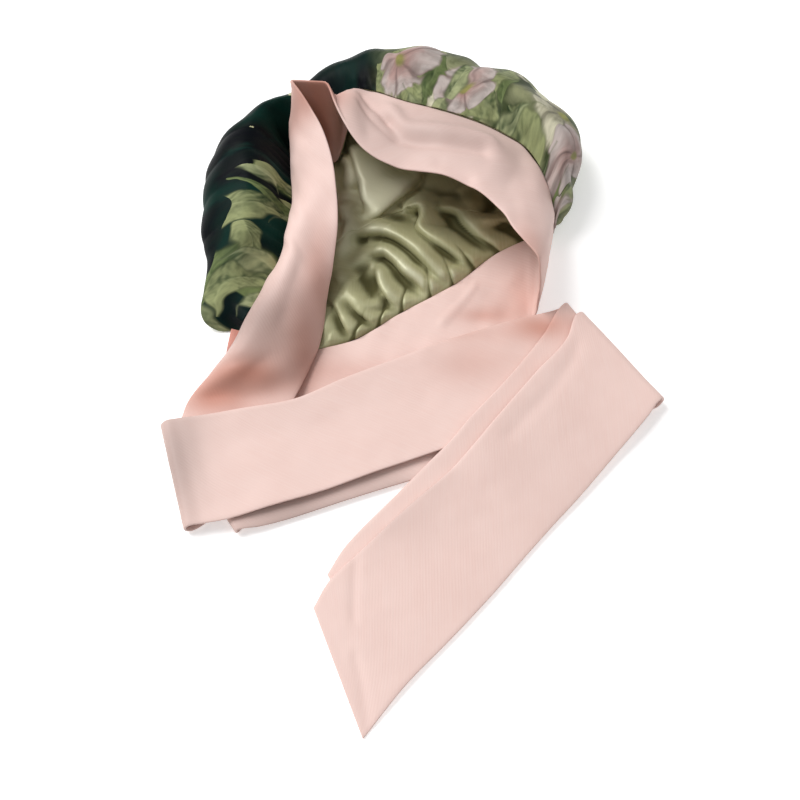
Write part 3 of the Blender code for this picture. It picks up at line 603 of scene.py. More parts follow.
# ---------------- the bag: crown and lining
def find_mouth():
    """The gores round the mouth. A gore starts just off the band's edge, on the outer side. The last
    gores close the seam under the band's left foot."""
    places, seam, rim, _, outward, stations = strip_lines(BAND, GORE_STEP)
    first, last = (stations[name] for name in SEWN)
    sewn = (places >= first - 0.001) & (places <= last + 0.001)
    places, seam, outward = places[sewn], seam[sewn], outward[sewn]
    towards_rim = unit(rim[sewn] - seam)
    extra = np.arange(1, CLOSING_COLUMNS + 1) / (CLOSING_COLUMNS + 1)
    closing_seam = monotone([0, 0.5, 1], [seam[-1], UNDER_BAND, seam[0]], extra)
    share = (np.abs(extra - 0.5) * 2)[:, None] ** 2
    leaving = (extra < 0.5)[:, None]
    near_rim = np.where(leaving, towards_rim[-1], towards_rim[0])
    near_out = np.where(leaving, outward[-1], outward[0])
    seam = np.concatenate([seam, closing_seam])
    towards_rim = np.concatenate([towards_rim, unit(np.array(FORWARD) * (1 - share) + near_rim * share)])
    outward = np.concatenate([outward, unit(np.array(DOWN) * (1 - share) + near_out * share)])
    places = np.concatenate([places, last + CLOSING_LENGTH * extra])
    for name, part in CLOSING_STATIONS.items():
        stations[name] = last + CLOSING_LENGTH * part
    # Before the left foot the crown's edge moves from beside the band's edge to below it.
    tuck_in = np.clip((places - last + TUCK_IN_LENGTH) / TUCK_IN_LENGTH, 0, 1)[:, None]
    tuck_in = np.where((places > last + 0.001)[:, None], 0, tuck_in**2)
    below = CROWN_THICKNESS / 2 + PIECE_GAP + TUCK_IN * tuck_in
    beside = ((STRIP_THICKNESS + CROWN_THICKNESS) / 2 + PIECE_GAP) * (1 - tuck_in)
    starts = seam - towards_rim * below + outward * beside
    starts[:, 2] = np.maximum(starts[:, 2], FLAT_Z)
    stations = {name: place - first for name, place in stations.items()}
    return Mouth(places - first, starts, stations, last - first + CLOSING_LENGTH)


def gore_lines(mouth):
    """Each gore as points: its start, the puff's top, its widest point, the tuck and the pole."""
    gores = sorted(CROWN, key=lambda gore: mouth.stations[gore.station])
    at = np.array([mouth.stations[gore.station] for gore in gores])
    table = np.array([[*gore.crest, *gore.outline, *gore.tuck, FLAT_Z] for gore in gores])
    wrapped = np.concatenate([at[-2:] - mouth.length, at, at[:2] + mouth.length])
    smooth = monotone(wrapped, np.concatenate([table[-2:], table, table[:2]]), mouth.places)
    pole = np.broadcast_to([*POLE, FLAT_Z], (len(mouth.places), 3))
    return np.stack([mouth.starts, smooth[:, 0:3], smooth[:, 3:6], smooth[:, 6:9], pole], axis=1)


def along_gore(lines, rings):
    """Points at the wanted rings of every gore."""
    marks = np.arange(lines.shape[1], dtype=float)
    return np.array([monotone(marks, line, rings) for line in lines])


def even_rings(lines, count):
    """Ring places from the seam to just short of the pole, evenly spaced along the mean gore."""
    dense = np.linspace(0, lines.shape[1] - 1, 401)
    sample = along_gore(lines[::12], dense)
    run = np.linalg.norm(np.diff(sample, axis=1), axis=2).mean(axis=0)
    run = np.concatenate([[0], np.cumsum(run)])
    return np.interp(run[-1] * (np.arange(count) / count), run, dense)


def dent(grid, rings):
    """Pull the puff in at the valleys that show from above."""
    away = (grid - np.array([*POLE, 0])) * np.array([1, 1, 0])
    angle = np.degrees(np.arctan2(away[..., 1], away[..., 0])) % 360
    pull = np.zeros(angle.shape)
    for row in DENTS:
        difference = (angle - row.angle + 180) % 360 - 180
        pull += row.depth * bell(difference, row.width) * bell(rings - DENT_RING, DENT_SPREAD)
    return grid - unit(away) * pull[..., None]


def plain_bag(mouth, count):
    """The puff without its gathers, in so many rings, the rings, and how far each gore stands up."""
    lines = gore_lines(mouth)
    rings = even_rings(lines, count)
    return dent(along_gore(lines, rings), rings), rings, ease_between(lines[:, 1, 2], *STANDING)[:, None]


def bag_normals(grid):
    """The side of a bag's wall that faces away from the hollow."""
    along = np.roll(grid, -1, axis=0) - np.roll(grid, 1, axis=0)
    return -unit(np.cross(along, np.gradient(grid, axis=1)))


def bag_cloth(grid, mouth):
    """Where each point of a bag lies on its flat round cloth, in mm from the pole."""
    steps = np.linalg.norm(np.diff(grid, axis=1), axis=2)
    last = np.linalg.norm(grid[:, -1, :2] - np.array(POLE), axis=1)[:, None]
    back = np.cumsum(steps[:, ::-1], axis=1)[:, ::-1]
    reach = np.concatenate([back, np.zeros((len(grid), 1))], axis=1) + last
    turn = (mouth.places / mouth.length * TURN)[:, None]
    return np.stack([reach * np.cos(turn), reach * np.sin(turn)], axis=-1)


def pucker(mouth, rings, kind):
    """How far a row of uneven puckers round the mouth lifts each place of a bag."""
    turn = mouth.places / mouth.length * TURN
    ring = np.stack([np.cos(turn), np.sin(turn)], axis=-1) * mouth.length / TURN
    count = round(mouth.length / kind.pitch)
    phase = turn * count + GATHERS_STRAY * soft_noise(ring, kind.pitch * 5, kind.seed)
    height = GATHERS_HEIGHT[0] + GATHERS_HEIGHT[1] * soft_noise(ring, kind.pitch * 3, kind.seed + 1)
    row = np.abs(np.sin(phase / 2)) ** GATHERS_CREASE * height - kind.below
    return kind.height * row[:, None] * hump(rings, *kind.rings)


def crown_surface(mouth):
    """The crown's middle surface with its gathers, and where its points lie on the flat cloth."""
    plain, rings, stands = plain_bag(mouth, CROWN_RINGS)
    lift = pucker(mouth, rings, FINE_GATHERS) + pucker(mouth, rings, BROAD_GATHERS)
    lift += PUFF_WAVE_HEIGHT * hump(rings, *PUFF_RINGS) * soft_noise(plain, PUFF_WAVES, PUFF_SEED)
    grid = plain + bag_normals(plain) * (stands * lift)[..., None]
    grid[..., 2] = np.maximum(grid[..., 2], FLAT_Z)
    return grid, bag_cloth(plain, mouth)


def soften(values, passes):
    """Average every place of a bag's grid with its neighbours, this many times."""
    for _ in range(passes):
        values = (np.roll(values, 1, axis=0) + 2 * values + np.roll(values, -1, axis=0)) / 4
        wide = np.pad(values, ((0, 0), (1, 1)), mode="edge")
        values = (wide[:, :-2] + 2 * wide[:, 1:-1] + wide[:, 2:]) / 4
    return values


def ridge_heights(points):
    """The lining's folds as heights over the plan, and which way each place leans."""
    heights, leans = [], []
    for ridge in LINING_RIDGES:
        line = smooth_line(ridge.points)
        distance, side, along = line_distance(points, line)
        fall = np.clip(distance / np.where(side > 0, WIDER * ridge.gentle, ridge.steep), 0, 1)
        gentle, steep = ((1 - fall**inner) ** outer for inner, outer in (GENTLE_POWERS, STEEP_POWERS))
        profile = np.where(side > 0, gentle, steep)
        taper = RIDGE_START + (1 - RIDGE_START) * ease_between(along, 0, RIDGE_RISEN)
        taper *= RIDGE_END + (1 - RIDGE_END) * (1 - ease_between(along, RIDGE_SINKS, 1))
        heights.append(ridge.height * profile * taper)
        direction = unit(line[-1] - line[0])
        leans.append((direction[1], -direction[0]))
    heights = np.stack(heights)
    weights = np.exp(heights / RIDGE_BLEND)
    top = RIDGE_BLEND * np.log(1 + (weights - 1).sum(axis=0))
    lean = np.tensordot(np.array(leans).T, heights * weights / weights.sum(axis=0), axes=1)
    return np.maximum(top, 0), lean


def pleats(mouth):
    """Knife pleats at the lining's seam, each up to the end of a fold. A pleat rises sharply there to
    1 and sinks to 0 at the next one, and a thin line of 1, used for painted shade, lies where it slips
    under that."""
    ends = [ridge.points[-1] for ridge in LINING_RIDGES if ridge.name not in INNER_RIDGES]
    nearest = [np.argmin(np.linalg.norm(mouth.starts[:, :2] - end, axis=1)) for end in ends]
    marks = np.sort(mouth.places[nearest])
    marks = np.append(marks, marks[-1] + LAST_PLEAT)
    after = np.clip(np.searchsorted(marks, mouth.places, side="right"), 1, len(marks) - 1)
    length = marks[after] - marks[after - 1]
    share = (mouth.places - marks[after - 1]) / length
    inside = (share >= 0) & (share <= 1)
    rises = np.where(inside, (1 - np.clip(share, 0, 1)) ** 1.5, 0)
    slips = np.where(inside, np.clip(1 - (1 - share) * length / PLEAT_LINE, 0, 1), 0)
    return rises[:, None], slips[:, None]


def ease_corner(grid, rings, mouth):
    """Shift the lining into the hollow near the station of EASE, most of all along the seam."""
    middle = mouth.stations[EASE.station]
    near = np.clip(2 - 2 * np.abs(mouth.places - middle) / EASE.reach, 0, 1)
    share = near[:, None] * np.clip(1 - rings / TUCK_RING, 0, 1) ** 0.5
    return grid + np.array(EASE.shift) * share[..., None]


def span_corner(grid, rings, mouth):
    """Let the lining run straight across the corner under the band's left foot, low over the floor."""
    tuck = int(np.argmin(np.abs(rings - TUCK_RING)))
    along = np.clip(rings / rings[tuck], 0, 1)[:, None]
    last = np.argmin(np.abs(mouth.places - (mouth.stations[SEWN[1]] - CORNER_SPAN)))
    rest = mouth.places - mouth.places[last]
    spanned = grid.copy()
    for number in range(last + 1, len(rest)):
        share = (rest[number] / (mouth.length - mouth.places[last])) ** 2
        gore = grid[last] * (1 - share) + grid[0] * share
        gore[:tuck] = (gore[0] * (1 - along) + gore[tuck] * along)[:tuck]
        gore[:, 2] = np.minimum(gore[:, 2], CORNER_Z)
        spanned[number] = gore
    return spanned


def lining_surface(mouth):
    """The lining's middle surface: the crown's, further in, with the satin's folds over its floor.
    Its cloth's third value is painted shade above 0, in valleys, dark patches and pleat lines, and painted
    highlight below 0, on crests and in pale patches."""
    outer, rings, stands = plain_bag(mouth, LINING_RINGS)
    inset = np.full((1, len(rings)), LINING_INSET)
    inset[0, 0] = (CROWN_THICKNESS + LINING_THICKNESS) / 2 + PIECE_GAP
    inset = inset + stands * pucker(mouth, rings, LINING_GATHERS)
    grid = outer - bag_normals(outer) * inset[..., None]
    grid = span_corner(ease_corner(grid, rings, mouth), rings, mouth)
    height, lean = ridge_heights(grid[..., :2])
    floor = 1 - ease_between(grid[..., 2], *LOW_WALL)
    from_seam = np.linalg.norm(grid - grid[:, :1], axis=2)
    free = floor * ease_between(from_seam, -SEAM_PRESS / 3, SEAM_PRESS)
    rises, slips = pleats(mouth)
    height = np.maximum(soften(height * free, RIDGE_SOFTENING), 0)
    height += PLEAT_HEIGHT * rises * hump(from_seam, *PLEAT_REACH) * floor
    # Painted shade in the valleys and painted highlight on the crests, then the painted patches and the
    # pleats' lines of painted shade.
    deep = (soften(height, DEEP_SOFTENING) - height) / DEEP_VALLEY
    deep = np.where(deep < 0, PAINTED_CREST_HIGHLIGHT * deep, deep)
    for painted_patch in LINING_PAINTED_LIGHT_AND_SHADE:
        deep += painted_patch.strength * painted_patch_share(grid, painted_patch)
    deep += PLEAT_SHADE * slips * (1 - ease_between(from_seam, *PLEAT_SHADE_REACH))
    deep = np.clip(deep, -1, 1) * floor
    grid[..., 2] += height
    grid[..., 0] += RIDGE_LEAN * (lean[0] * free)
    grid[..., 1] += RIDGE_LEAN * (lean[1] * free)
    return grid, np.concatenate([bag_cloth(outer, mouth), deep[..., None]], axis=-1)


# ---------------- meshes
def mesh_object(name, points, faces, cloth, material):
    """A smooth mesh from points in layout millimetres. Of its cloth's values the first two are kept
    on it as the attribute "cloth" and the others, the painted light and shade, as "tone"."""
    points = np.array(points)
    points[:, 2] = np.maximum(points[:, 2], 0)
    points = (points - np.array(LAYOUT_MIDDLE)) * MM
    corner = points[faces]
    signed = np.einsum("ij,ij->i", corner[:, 0], np.cross(corner[:, 1], corner[:, 2]))
    signed += np.einsum("ij,ij->i", corner[:, 0], np.cross(corner[:, 2], corner[:, 3]))
    if signed.sum() < 0:
        faces = faces[:, ::-1]
    # A face with its first or last two corners at one point is a triangle.
    rows = []
    for face in faces.tolist():
        rows.append(face[:3] if face[2] == face[3] else face[1:] if face[0] == face[1] else face)
    mesh = bpy.data.meshes.new(name)
    mesh.from_pydata(points.tolist(), [], rows)
    mesh.update()
    for attribute_name, values in (("cloth", cloth[:, :2]), ("tone", cloth[:, 2:])):
        padded = np.zeros((len(cloth), 3), dtype=np.float32)
        padded[:, :values.shape[1]] = values
        attribute = mesh.attributes.new(attribute_name, "FLOAT_VECTOR", "POINT")
        attribute.data.foreach_set("vector", padded.ravel())
    mesh.shade_smooth()
    mesh.materials.append(material)
    piece = bpy.data.objects.new(name, mesh)
    bpy.context.scene.collection.objects.link(piece)
    return piece


def edge_points(point, side, beyond, thick):
    """The half round along a strip's edge, from the face on the given side to the other face."""
    turns = math.pi * np.arange(1, EDGE_STEPS)[:, None] / EDGE_STEPS
    return point + thick * (np.cos(turns) * side + np.sin(turns) * beyond)


def strip_object(name, grid, cloth, thickness, material):
    """A strip as a closed shell: two faces, with rounded edges and rounded ends."""
    half = thickness / 2
    normals = strip_normals(grid)
    rows = list(zip(grid, cloth, normals, [half] * len(grid)))
    # Rounded ends: a few more rows past each end, thinner and thinner.
    for end, inner in ((0, 1), (-1, -2)):
        past = unit(grid[end] - grid[inner]) * half
        more = [(grid[end] + past * math.sin(turn), cloth[end], normals[end], half * math.cos(turn))
                for turn in np.radians(END_TURNS)]
        rows = more[::-1] + rows if end == 0 else rows + more
    loops, values = [], []
    for middle, flat, side, thick in rows:
        first_out, last_out = unit(middle[0] - middle[1]), unit(middle[-1] - middle[-2])
        loops.append(np.concatenate([
            middle + side * thick,
            edge_points(middle[-1], side[-1], last_out, thick),
            (middle - side * thick)[::-1],
            edge_points(middle[0], -side[0], first_out, thick),
        ]))
        round_edge = np.ones((EDGE_STEPS - 1, 1))
        values.append(np.concatenate([flat, flat[-1:] * round_edge, flat[::-1], flat[:1] * round_edge]))
    loops, values = np.array(loops), np.array(values)
    number = np.arange(loops[..., 0].size).reshape(loops.shape[:2])
    after = np.roll(number, -1, axis=1)
    faces = np.stack([number[:-1], number[1:], after[1:], after[:-1]], axis=-1).reshape(-1, 4).tolist()
    columns = grid.shape[1]
    for row, flip in ((0, False), (-1, True)):
        top = number[row, :columns]
        bottom = number[row, columns + EDGE_STEPS - 1:2 * columns + EDGE_STEPS - 1][::-1]
        cap = [(top[c], top[c + 1], bottom[c + 1], bottom[c]) for c in range(columns - 1)]
        right = number[row, columns - 1:columns + EDGE_STEPS]
        left = np.append(number[row, 2 * columns + EDGE_STEPS - 2:], number[row, 0])
        for fan in (right, left):
            cap += [(fan[0], fan[step], fan[step + 1], fan[step + 1]) for step in range(1, len(fan) - 1)]
        faces += [face[::-1] if flip else face for face in cap]
    values = values.reshape(-1, cloth.shape[-1])
    return mesh_object(name, loops.reshape(-1, 3), np.array(faces), values, material)


def bag_object(name, grid, cloth, thickness, material):
    """The crown or lining as a closed shell round its wall, rounded at the mouth's edge."""
    half = thickness / 2
    normals = bag_normals(grid) * half
    edge = unit(grid[:, 0] - grid[:, 1]) * half
    loops, values = [(grid + normals)[:, ::-1]], [cloth[:, ::-1]]
    for turn in np.radians([45, 90, 135]):
        loops.append((grid[:, 0] + normals[:, 0] * math.cos(turn) + edge * math.sin(turn))[:, None])
        values.append(cloth[:, :1])
    loops = np.concatenate(loops + [grid - normals], axis=1)
    values = np.concatenate(values + [cloth], axis=1)
    number = np.arange(loops[..., 0].size).reshape(loops.shape[:2])
    after = np.roll(number, -1, axis=0)
    outer, inner = np.full(len(grid), number.size), np.full(len(grid), number.size + 1)
    first = np.stack([outer, number[:, 0], after[:, 0], after[:, 0]], axis=-1)
    last = np.stack([inner, after[:, -1], number[:, -1], number[:, -1]], axis=-1)
    faces = np.stack([number[:, :-1], number[:, 1:], after[:, 1:], after[:, :-1]], axis=-1).reshape(-1, 4)
    poles = grid[:, -1].mean(axis=0) + np.array([[0, 0, -half], [0, 0, half]])
    points = np.concatenate([loops.reshape(-1, 3), poles])
    values = np.concatenate([values.reshape(-1, cloth.shape[-1]), np.zeros((2, cloth.shape[-1]))])
    return mesh_object(name, points, np.concatenate([faces, first, last]), values, material)


# ---------------- materials
class Graph:
    """A material's nodes, with short calls for the few kinds that the cloths need."""

    def __init__(self, name):
        self.material = bpy.data.materials.new(name)
        self.material.use_nodes = True
        self.tree = self.material.node_tree
        self.shader = self.tree.nodes["Principled BSDF"]

    def put(self, socket, value):
        """Link a socket to a node's result, or set it to a constant."""
        if isinstance(value, bpy.types.NodeSocket):
            self.tree.links.new(value, socket)
        else:
            socket.default_value = (*value, 1) if socket.type == "RGBA" else value

    def finish(self, values):
        """Put the values on the shader's own sockets and give the material."""
        for name, value in values.items():
            self.put(self.shader.inputs[name], value)
        return self.material

    def node(self, kind, inputs, **settings):
        made = self.tree.nodes.new(kind)
        for name, value in settings.items():
            setattr(made, name, value)
        for name, value in inputs.items():
            self.put(made.inputs[name], value)
        return made

    def attribute(self, name):
        return self.node("ShaderNodeAttribute", {}, attribute_name=name).outputs["Vector"]

    def math(self, operation, a, b=0, c=0, clamp=False):
        made = self.node("ShaderNodeMath", {0: a, 1: b, 2: c}, operation=operation, use_clamp=clamp)
        return made.outputs[0]

    def plus(self, a, b):
        return self.math("ADD", a, b)

    def minus(self, a, b):
        return self.math("SUBTRACT", a, b)

    def times(self, a, b):
        return self.math("MULTIPLY", a, b)

    def over(self, a, b):
        return self.math("DIVIDE", a, b)

    def line(self, value, slope, start):
        return self.math("MULTIPLY_ADD", value, slope, start)

    def vector(self, operation, a, b=(0, 0, 0)):
        made = self.node("ShaderNodeVectorMath", {0: a, 1: b}, operation=operation)
        return made.outputs["Value" if operation in ("LENGTH", "DOT_PRODUCT") else "Vector"]

    def turned(self, vector, angle):
        inputs = {"Vector": vector, "Angle": angle}
        return self.node("ShaderNodeVectorRotate", inputs, rotation_type="Z_AXIS").outputs[0]

    def split(self, vector):
        return tuple(self.node("ShaderNodeSeparateXYZ", {0: vector}).outputs)

    def ramp(self, value, low, high, start=0, end=1):
        """The value moved smoothly from low..high to start..end."""
        inputs = {"Value": value, "From Min": low, "From Max": high, "To Min": start, "To Max": end}
        return self.node("ShaderNodeMapRange", inputs, interpolation_type="SMOOTHSTEP").outputs["Result"]

    def mix(self, share, a, b):
        return self.node("ShaderNodeMix", {0: share, 6: a, 7: b}, data_type="RGBA").outputs[2]

    def noise(self, vector, scale, detail=2, roughness=0.5, output=0):
        """A noise's value, or its colour as output 1."""
        inputs = {"Vector": vector, "Scale": scale, "Detail": detail, "Roughness": roughness}
        return self.node("ShaderNodeTexNoise", inputs).outputs[output]

    def mottled(self, cloth, scale, a, b):
        return self.mix(self.ramp(self.noise(cloth, scale, 3), 0.3, 0.7), a, b)

    def bump(self, height, strength, distance):
        inputs = {"Height": height, "Strength": strength, "Distance": distance}
        return self.node("ShaderNodeBump", inputs).outputs["Normal"]


def tone(colour, factor, more=0):
    """A colour made darker or lighter."""
    return tuple(min(1, value * factor + more) for value in colour)


def satin_weave(graph, cloth, pitch):
    """Fine diagonal threads with uneven slubs, from 0 to 1: cloth coordinates are in millimetres."""
    along, across, _ = graph.split(cloth)
    diagonal = graph.times(graph.minus(along, across), TURN / (pitch * math.sqrt(2)))
    diagonal = graph.plus(diagonal, graph.times(graph.noise(cloth, 0.09, 3), 5))
    return graph.line(graph.math("SINE", diagonal), 0.5, 0.5)


def slubs(graph, cloth, stretch, seed):
    """Thread-like streaks at 45 degrees to the cloth's length, from 0 to 1."""
    long_thin = graph.vector("MULTIPLY", graph.turned(cloth, math.radians(-45)), (1 / stretch, 1, 1))
    return graph.noise(graph.vector("ADD", long_thin, (seed, seed * 0.7, 0)), 0.8, 4, 0.6)


def blush_satin():
    graph = Graph("blush_satin")
    cloth = graph.attribute("cloth")
    weave = satin_weave(graph, cloth, 1.9)
    streaks = slubs(graph, cloth, 22, 3)
    colour = graph.mottled(cloth, 0.028, BLUSH, BLUSH_LIGHT)
    colour = graph.mix(graph.ramp(streaks, 0.35, 0.7, 0, 0.35), colour, BLUSH_STREAK)
    colour = graph.mix(graph.times(weave, 0.05), colour, BLUSH_THREAD)
    # Painted shade: coral where light bounces between layers, grey elsewhere.
    coral, grey, _ = graph.split(graph.attribute("tone"))
    colour = graph.mix(coral, colour, BLUSH_PAINTED_CORAL_SHADE)
    colour = graph.mix(graph.times(grey, 0.62), colour, BLUSH_SHADE)
    height = graph.plus(graph.times(weave, 0.5), graph.times(streaks, 0.8))
    return graph.finish({
        "Base Color": colour,
        "Roughness": graph.ramp(streaks, 0.3, 0.7, 0.5, 0.62),
        "Specular IOR Level": 0.35,
        "Sheen Weight": 0.12,
        "Sheen Roughness": 0.45,
        "Sheen Tint": BLUSH_SHEEN,
        "Normal": graph.bump(height, 0.3, 0.00018),
    })


def sage_satin():
    graph = Graph("sage_satin")
    cloth = graph.attribute("cloth")
    streaks = slubs(graph, cloth, 30, 9)
    colour = graph.mottled(cloth, 0.03, SAGE, SAGE_LIGHT)
    colour = graph.mix(graph.ramp(streaks, 0.4, 0.75, 0, 0.3), colour, SAGE_STREAK)
    deep, _, _ = graph.split(graph.attribute("tone"))
    # Painted highlight on the crests and pale patches, painted shade in the valleys and dark patches.
    colour = graph.mix(graph.ramp(deep, -1, -0.1, 0.8, 0), colour, SAGE_PAINTED_HIGHLIGHT)
    colour = graph.mix(graph.ramp(deep, 0, 0.9, 0, 0.9), colour, SAGE_PAINTED_SHADE)
    return graph.finish({
        "Base Color": colour,
        "Roughness": graph.ramp(streaks, 0.3, 0.7, 0.42, 0.52),
        "Metallic": 0.12,
        # less reflection where the painted shade lies
        "Specular IOR Level": graph.ramp(deep, 0, 0.5, 0.7, 0.05),
        "Sheen Weight": 0.1,
        "Sheen Roughness": 0.3,
        "Sheen Tint": SAGE_SHEEN,
        "Normal": graph.bump(streaks, 0.25, 0.0002),
    })


def coral_satin():
    graph = Graph("coral_satin")
    cloth = graph.attribute("cloth")
    streaks = slubs(graph, cloth, 14, 17)
    along, _, _ = graph.split(cloth)
    # The blush cloth's painted shade, darker painted shade towards the tab's lower end.
    colour = graph.mix(graph.ramp(along, 10, 22), TAB_PAINTED_SHADE, TAB_DARKER_PAINTED_SHADE)
    colour = graph.mix(graph.ramp(streaks, 0.35, 0.7, 0, 0.4), colour, CORAL_STREAK)
    return graph.finish({
        "Base Color": colour,
        "Roughness": 0.55,
        "Sheen Weight": 0.2,
        "Normal": graph.bump(streaks, 0.4, 0.0003),
    })


def scattered(graph, cloth, cell, seed):
    """One motif in each cell of a scatter: a point's place in its motif, turned at random, and the
    motif's own two random numbers."""
    moved = graph.vector("ADD", cloth, (seed * 37, seed * 53, 0))
    inputs = {"Vector": moved, "Scale": 1 / cell, "Randomness": 0.8}
    cells = graph.node("ShaderNodeTexVoronoi", inputs, voronoi_dimensions="2D")
    place = graph.vector("SUBTRACT", moved, cells.outputs["Position"])
    turn, size, kind = graph.split(cells.outputs["Color"])
    return graph.turned(place, graph.times(turn, TURN)), size, kind


def laid_over(graph, under, colour, mask, kind, share):
    """The motifs over a colour, in that share of the cells."""
    return graph.mix(graph.times(mask, graph.math("LESS_THAN", kind, share)), under, colour)


def leaves(graph, cloth, under, share, seed, cell, length, width, dark, light):
    """Painted leaves over a colour: a pointed outline, a pale midrib and soft side veins."""
    place, random, kind = scattered(graph, cloth, cell, seed)
    x, y, _ = graph.split(place)
    size = graph.line(random, 0.6, 0.7)
    x, y = graph.over(x, size), graph.over(y, size)
    y = graph.minus(y, graph.times(graph.times(x, x), graph.line(kind, 0.036, -0.018)))
    run = graph.over(x, length / 2)
    outline = graph.math("SUBTRACT", 1, graph.times(run, run), clamp=True)
    outline = graph.times(outline, graph.line(run, -0.28, 0.86))
    off = graph.math("ABSOLUTE", y)
    inside = graph.minus(graph.times(outline, width / 2), off)
    veins = graph.math("SINE", graph.times(graph.minus(x, graph.times(off, 0.9)), 0.75))
    shade = graph.plus(graph.times(graph.noise(place, 0.05, 3, 0.55), 1.3), graph.times(veins, 0.05))
    shade = graph.plus(shade, graph.times(run, -0.2))
    half_lit = graph.ramp(y, -2.5, 2.5, 0, 0.26)
    colour = graph.mix(graph.ramp(graph.plus(shade, half_lit), 0.3, 1), dark, light)
    colour = graph.mix(graph.ramp(off, 0.3, 1.8, 0.25, 0), colour, tone(light, 1.3, 0.03))
    colour = graph.mix(graph.ramp(inside, 0, 3, 0.5, 0), colour, tone(dark, 0.5))
    return laid_over(graph, under, colour, graph.ramp(inside, -2.2, 2.2), kind, share)


def blossoms(graph, cloth, under, share, seed, cell, radius, petals, outer, inner, heart):
    """Painted blossoms over a colour: broad soft petals that overlap, with shaded gaps and a heart."""
    place, random, kind = scattered(graph, cloth, cell, seed)
    x, y, _ = graph.split(place)
    away = graph.over(graph.vector("LENGTH", place), graph.line(random, 0.55, 0.7))
    turn = graph.plus(graph.math("ARCTAN2", y, x), graph.times(away, 0.35 / radius))
    lobe = graph.math("ABSOLUTE", graph.math("COSINE", graph.times(turn, petals / 2)))
    lobe = graph.math("POWER", lobe, 0.35)
    reach = graph.times(graph.line(lobe, 0.3, 0.7), radius)
    reach = graph.times(reach, graph.line(graph.noise(place, 0.05, 2), 0.7, 0.65))
    inside = graph.minus(reach, away)
    out = graph.over(away, reach)
    deep = graph.plus(out, graph.line(graph.noise(place, 0.05, 3, 0.55), 1.5, -0.75))
    colour = graph.mix(graph.ramp(deep, 0.1, 0.95), inner, outer)
    gap = graph.times(graph.ramp(lobe, 0.45, 0.85, 1, 0), graph.ramp(out, 0.1, 0.6, 0.2, 1))
    colour = graph.mix(graph.times(gap, 0.7), colour, tone(inner, 0.4))
    colour = graph.mix(graph.ramp(inside, 0, 3, 0.5, 0), colour, tone(inner, 0.5))
    colour = graph.mix(graph.ramp(away, radius * 0.12, radius * 0.26, 0.9, 0), colour, heart)
    return laid_over(graph, under, colour, graph.ramp(inside, -2.6, 2.8), kind, share)


def print_satin():
    graph = Graph("print_satin")
    cloth = graph.attribute("cloth")
    brush = graph.noise(cloth, 0.03, 1, 0.4, output=1)
    sway = graph.vector("MULTIPLY", graph.vector("SUBTRACT", brush, (0.5, 0.5, 0.5)), (PAINT_SWAY,) * 3)
    painted = graph.vector("ADD", cloth, sway)
    # How full the print is: crowded over the top and one side, sparse on the other, with a
    # spray of leaves low on that side.
    drift = graph.line(graph.noise(cloth, 0.01), 0.8, -0.4)
    crowd = graph.times(graph.vector("DOT_PRODUCT", cloth, (-0.5, 0.87, 0)), 0.0046)
    full = graph.ramp(graph.plus(crowd, drift), 0.1, 0.42)
    spray = graph.times(graph.vector("DOT_PRODUCT", cloth, (0.7, -0.71, 0)), 0.0055)
    spray = graph.ramp(graph.plus(spray, drift), 0.84, 1.06)
    most = graph.times(graph.math("MAXIMUM", full, spray), 0.97)
    some = graph.times(full, 0.66)
    cloud = graph.noise(painted, 0.012, 2.5)
    colour = graph.mix(graph.ramp(cloud, 0.4, 0.64), NIGHT, NIGHT_GREEN)
    wash = graph.noise(painted, 0.028, 3, 0.55)
    colour = graph.mix(graph.ramp(wash, 0.55, 0.8, 0, 0.5), colour, TEAL_WASH)
    # Under the crowded side the ground itself is a soft olive wash.
    field = graph.noise(painted, 0.022, 3, 0.55)
    ground = graph.mix(graph.ramp(field, 0.36, 0.64), OLIVE_DARK, OLIVE_LIGHT)
    colour = graph.mix(graph.times(full, 0.92), colour, ground)
    # The motifs, from the lowest layer up: their share, seed, cell, sizes and colours.
    for paint, share, seed, cell, *motif in (
        (leaves, most, 1, 96, 120, 62, *DEEP_LEAF),
        (blossoms, some, 3, 84, 50, 5, *CREAM_BLOSSOM),
        (leaves, most, 2, 70, 84, 40, *BROAD_LEAF),
        (blossoms, some, 5, 96, 40, 5, *ROSE_BLOSSOM),
        (leaves, most, 6, 66, 58, 26, *SMALL_LEAF),
    ):
        colour = paint(graph, painted, colour, share, seed, cell, *motif)
    strokes = graph.noise(graph.vector("MULTIPLY", painted, (1, 0.35, 1)), 0.12, 3, 0.55)
    colour = graph.mix(graph.ramp(strokes, 0.25, 0.7, 0.35, 0), colour, BRUSH_SHADE)
    streaks = slubs(graph, cloth, 26, 5)
    return graph.finish({
        "Base Color": colour,
        "Roughness": graph.ramp(streaks, 0.3, 0.7, 0.44, 0.54),
        "Specular IOR Level": 0.05,
        "Normal": graph.bump(streaks, 0.3, 0.0002),
    })


# ---------------- pieces
def make_crown(mouth):
    return bag_object("crown_cloth", *crown_surface(mouth), CROWN_THICKNESS, print_satin())


def make_lining(mouth):
    return bag_object("lining_cloth", *lining_surface(mouth), LINING_THICKNESS, sage_satin())


def make_band(satin):
    surface = strip_surface(BAND, BAND_RIPPLES, BAND_PAINTED_SHADE, BAND_WAVINESS, BAND_SEED)
    return strip_object("band_cloth", *surface, STRIP_THICKNESS, satin)


def make_tie_left(satin):
    surface = strip_surface(TIE_LEFT, TIE_LEFT_RIPPLES, TIE_LEFT_PAINTED_SHADE, TIE_WAVINESS, TIE_LEFT_SEED)
    return strip_object("tie_left_cloth", *surface, STRIP_THICKNESS, satin)


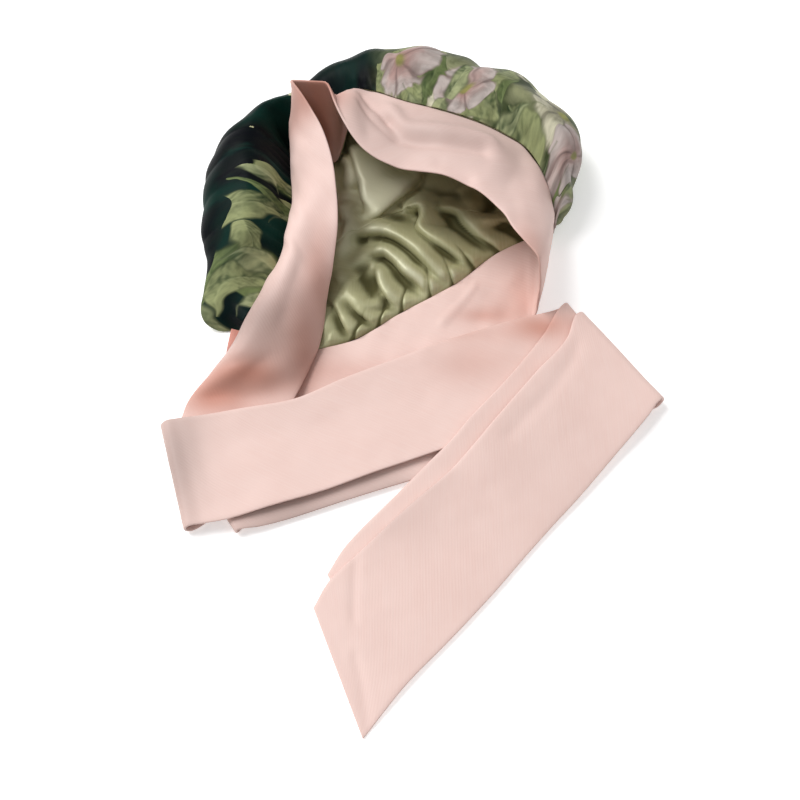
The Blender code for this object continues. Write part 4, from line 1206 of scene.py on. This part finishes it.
def make_tie_right(satin):
    surface = strip_surface(TIE_RIGHT, TIE_RIGHT_RIPPLES, TIE_RIGHT_PAINTED_SHADE, TIE_WAVINESS, TIE_RIGHT_SEED)
    return strip_object("tie_right_cloth", *surface, STRIP_THICKNESS, satin)


def make_seam_tab():
    surface = strip_surface(SEAM_TAB, step=TAB_STEP, columns=TAB_COLUMNS)
    return strip_object("seam_tab_cloth", *surface, TAB_THICKNESS, coral_satin())


# ---------------- stage
def make_floor():
    bpy.ops.mesh.primitive_plane_add(size=FLOOR_SIDE, location=(0, 0, FLOOR_Z))
    floor = bpy.context.object
    floor.name = "floor"
    floor.data.materials.append(Graph("pale_floor").finish({
        "Base Color": FLOOR_WHITE,
        "Roughness": 0.8,
        "Specular IOR Level": 0.1,
        "Emission Color": WHITE,
        "Emission Strength": FLOOR_GLOW,
    }))


def make_lights():
    world = bpy.data.worlds.new("studio")
    bpy.context.scene.world = world
    world.use_nodes = True
    background = world.node_tree.nodes["Background"]
    background.inputs["Color"].default_value = (*WHITE, 1)
    background.inputs["Strength"].default_value = WORLD_LIGHT
    for name, place, size, power in LIGHTS:
        lamp = bpy.data.lights.new(name, "AREA")
        lamp.shape = "SQUARE"
        lamp.size = size
        lamp.energy = power
        light = bpy.data.objects.new(name, lamp)
        light.location = place
        towards = Vector(LIGHTS_TARGET) - Vector(place)
        light.rotation_euler = towards.to_track_quat("-Z", "Y").to_euler()
        bpy.context.scene.collection.objects.link(light)


def make_camera():
    lens = bpy.data.cameras.new("camera")
    lens.lens = CAMERA_LENS
    lens.sensor_width = CAMERA_SENSOR
    camera = bpy.data.objects.new("camera", lens)
    target = Vector((-LAYOUT_MIDDLE[0] * MM, -LAYOUT_MIDDLE[1] * MM, 0))
    lean = math.radians(CAMERA_ELEVATION)
    camera.location = target + Vector((0, -math.cos(lean), math.sin(lean))) * CAMERA_DISTANCE
    camera.rotation_euler = (math.pi / 2 - lean, 0, 0)
    bpy.context.scene.collection.objects.link(camera)
    bpy.context.scene.camera = camera


def main():
    bpy.context.scene.view_settings.view_transform = "Standard"
    blush = blush_satin()
    mouth = find_mouth()
    crown = make_crown(mouth)
    lining = make_lining(mouth)
    band = make_band(blush)
    tie_left = make_tie_left(blush)
    tie_right = make_tie_right(blush)
    tab = make_seam_tab()
    for piece, node, slot in (
        (crown, "crown", "print_satin"),
        (lining, "lining", "sage_satin"),
        (band, "band", "blush_satin"),
        (tie_left, "tie_left", "blush_satin"),
        (tie_right, "tie_right", "blush_satin"),
        (tab, "seam_tab", "coral_satin"),
    ):
        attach(piece, "root")
        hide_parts(node)
    make_floor()
    make_lights()
    make_camera()


main()
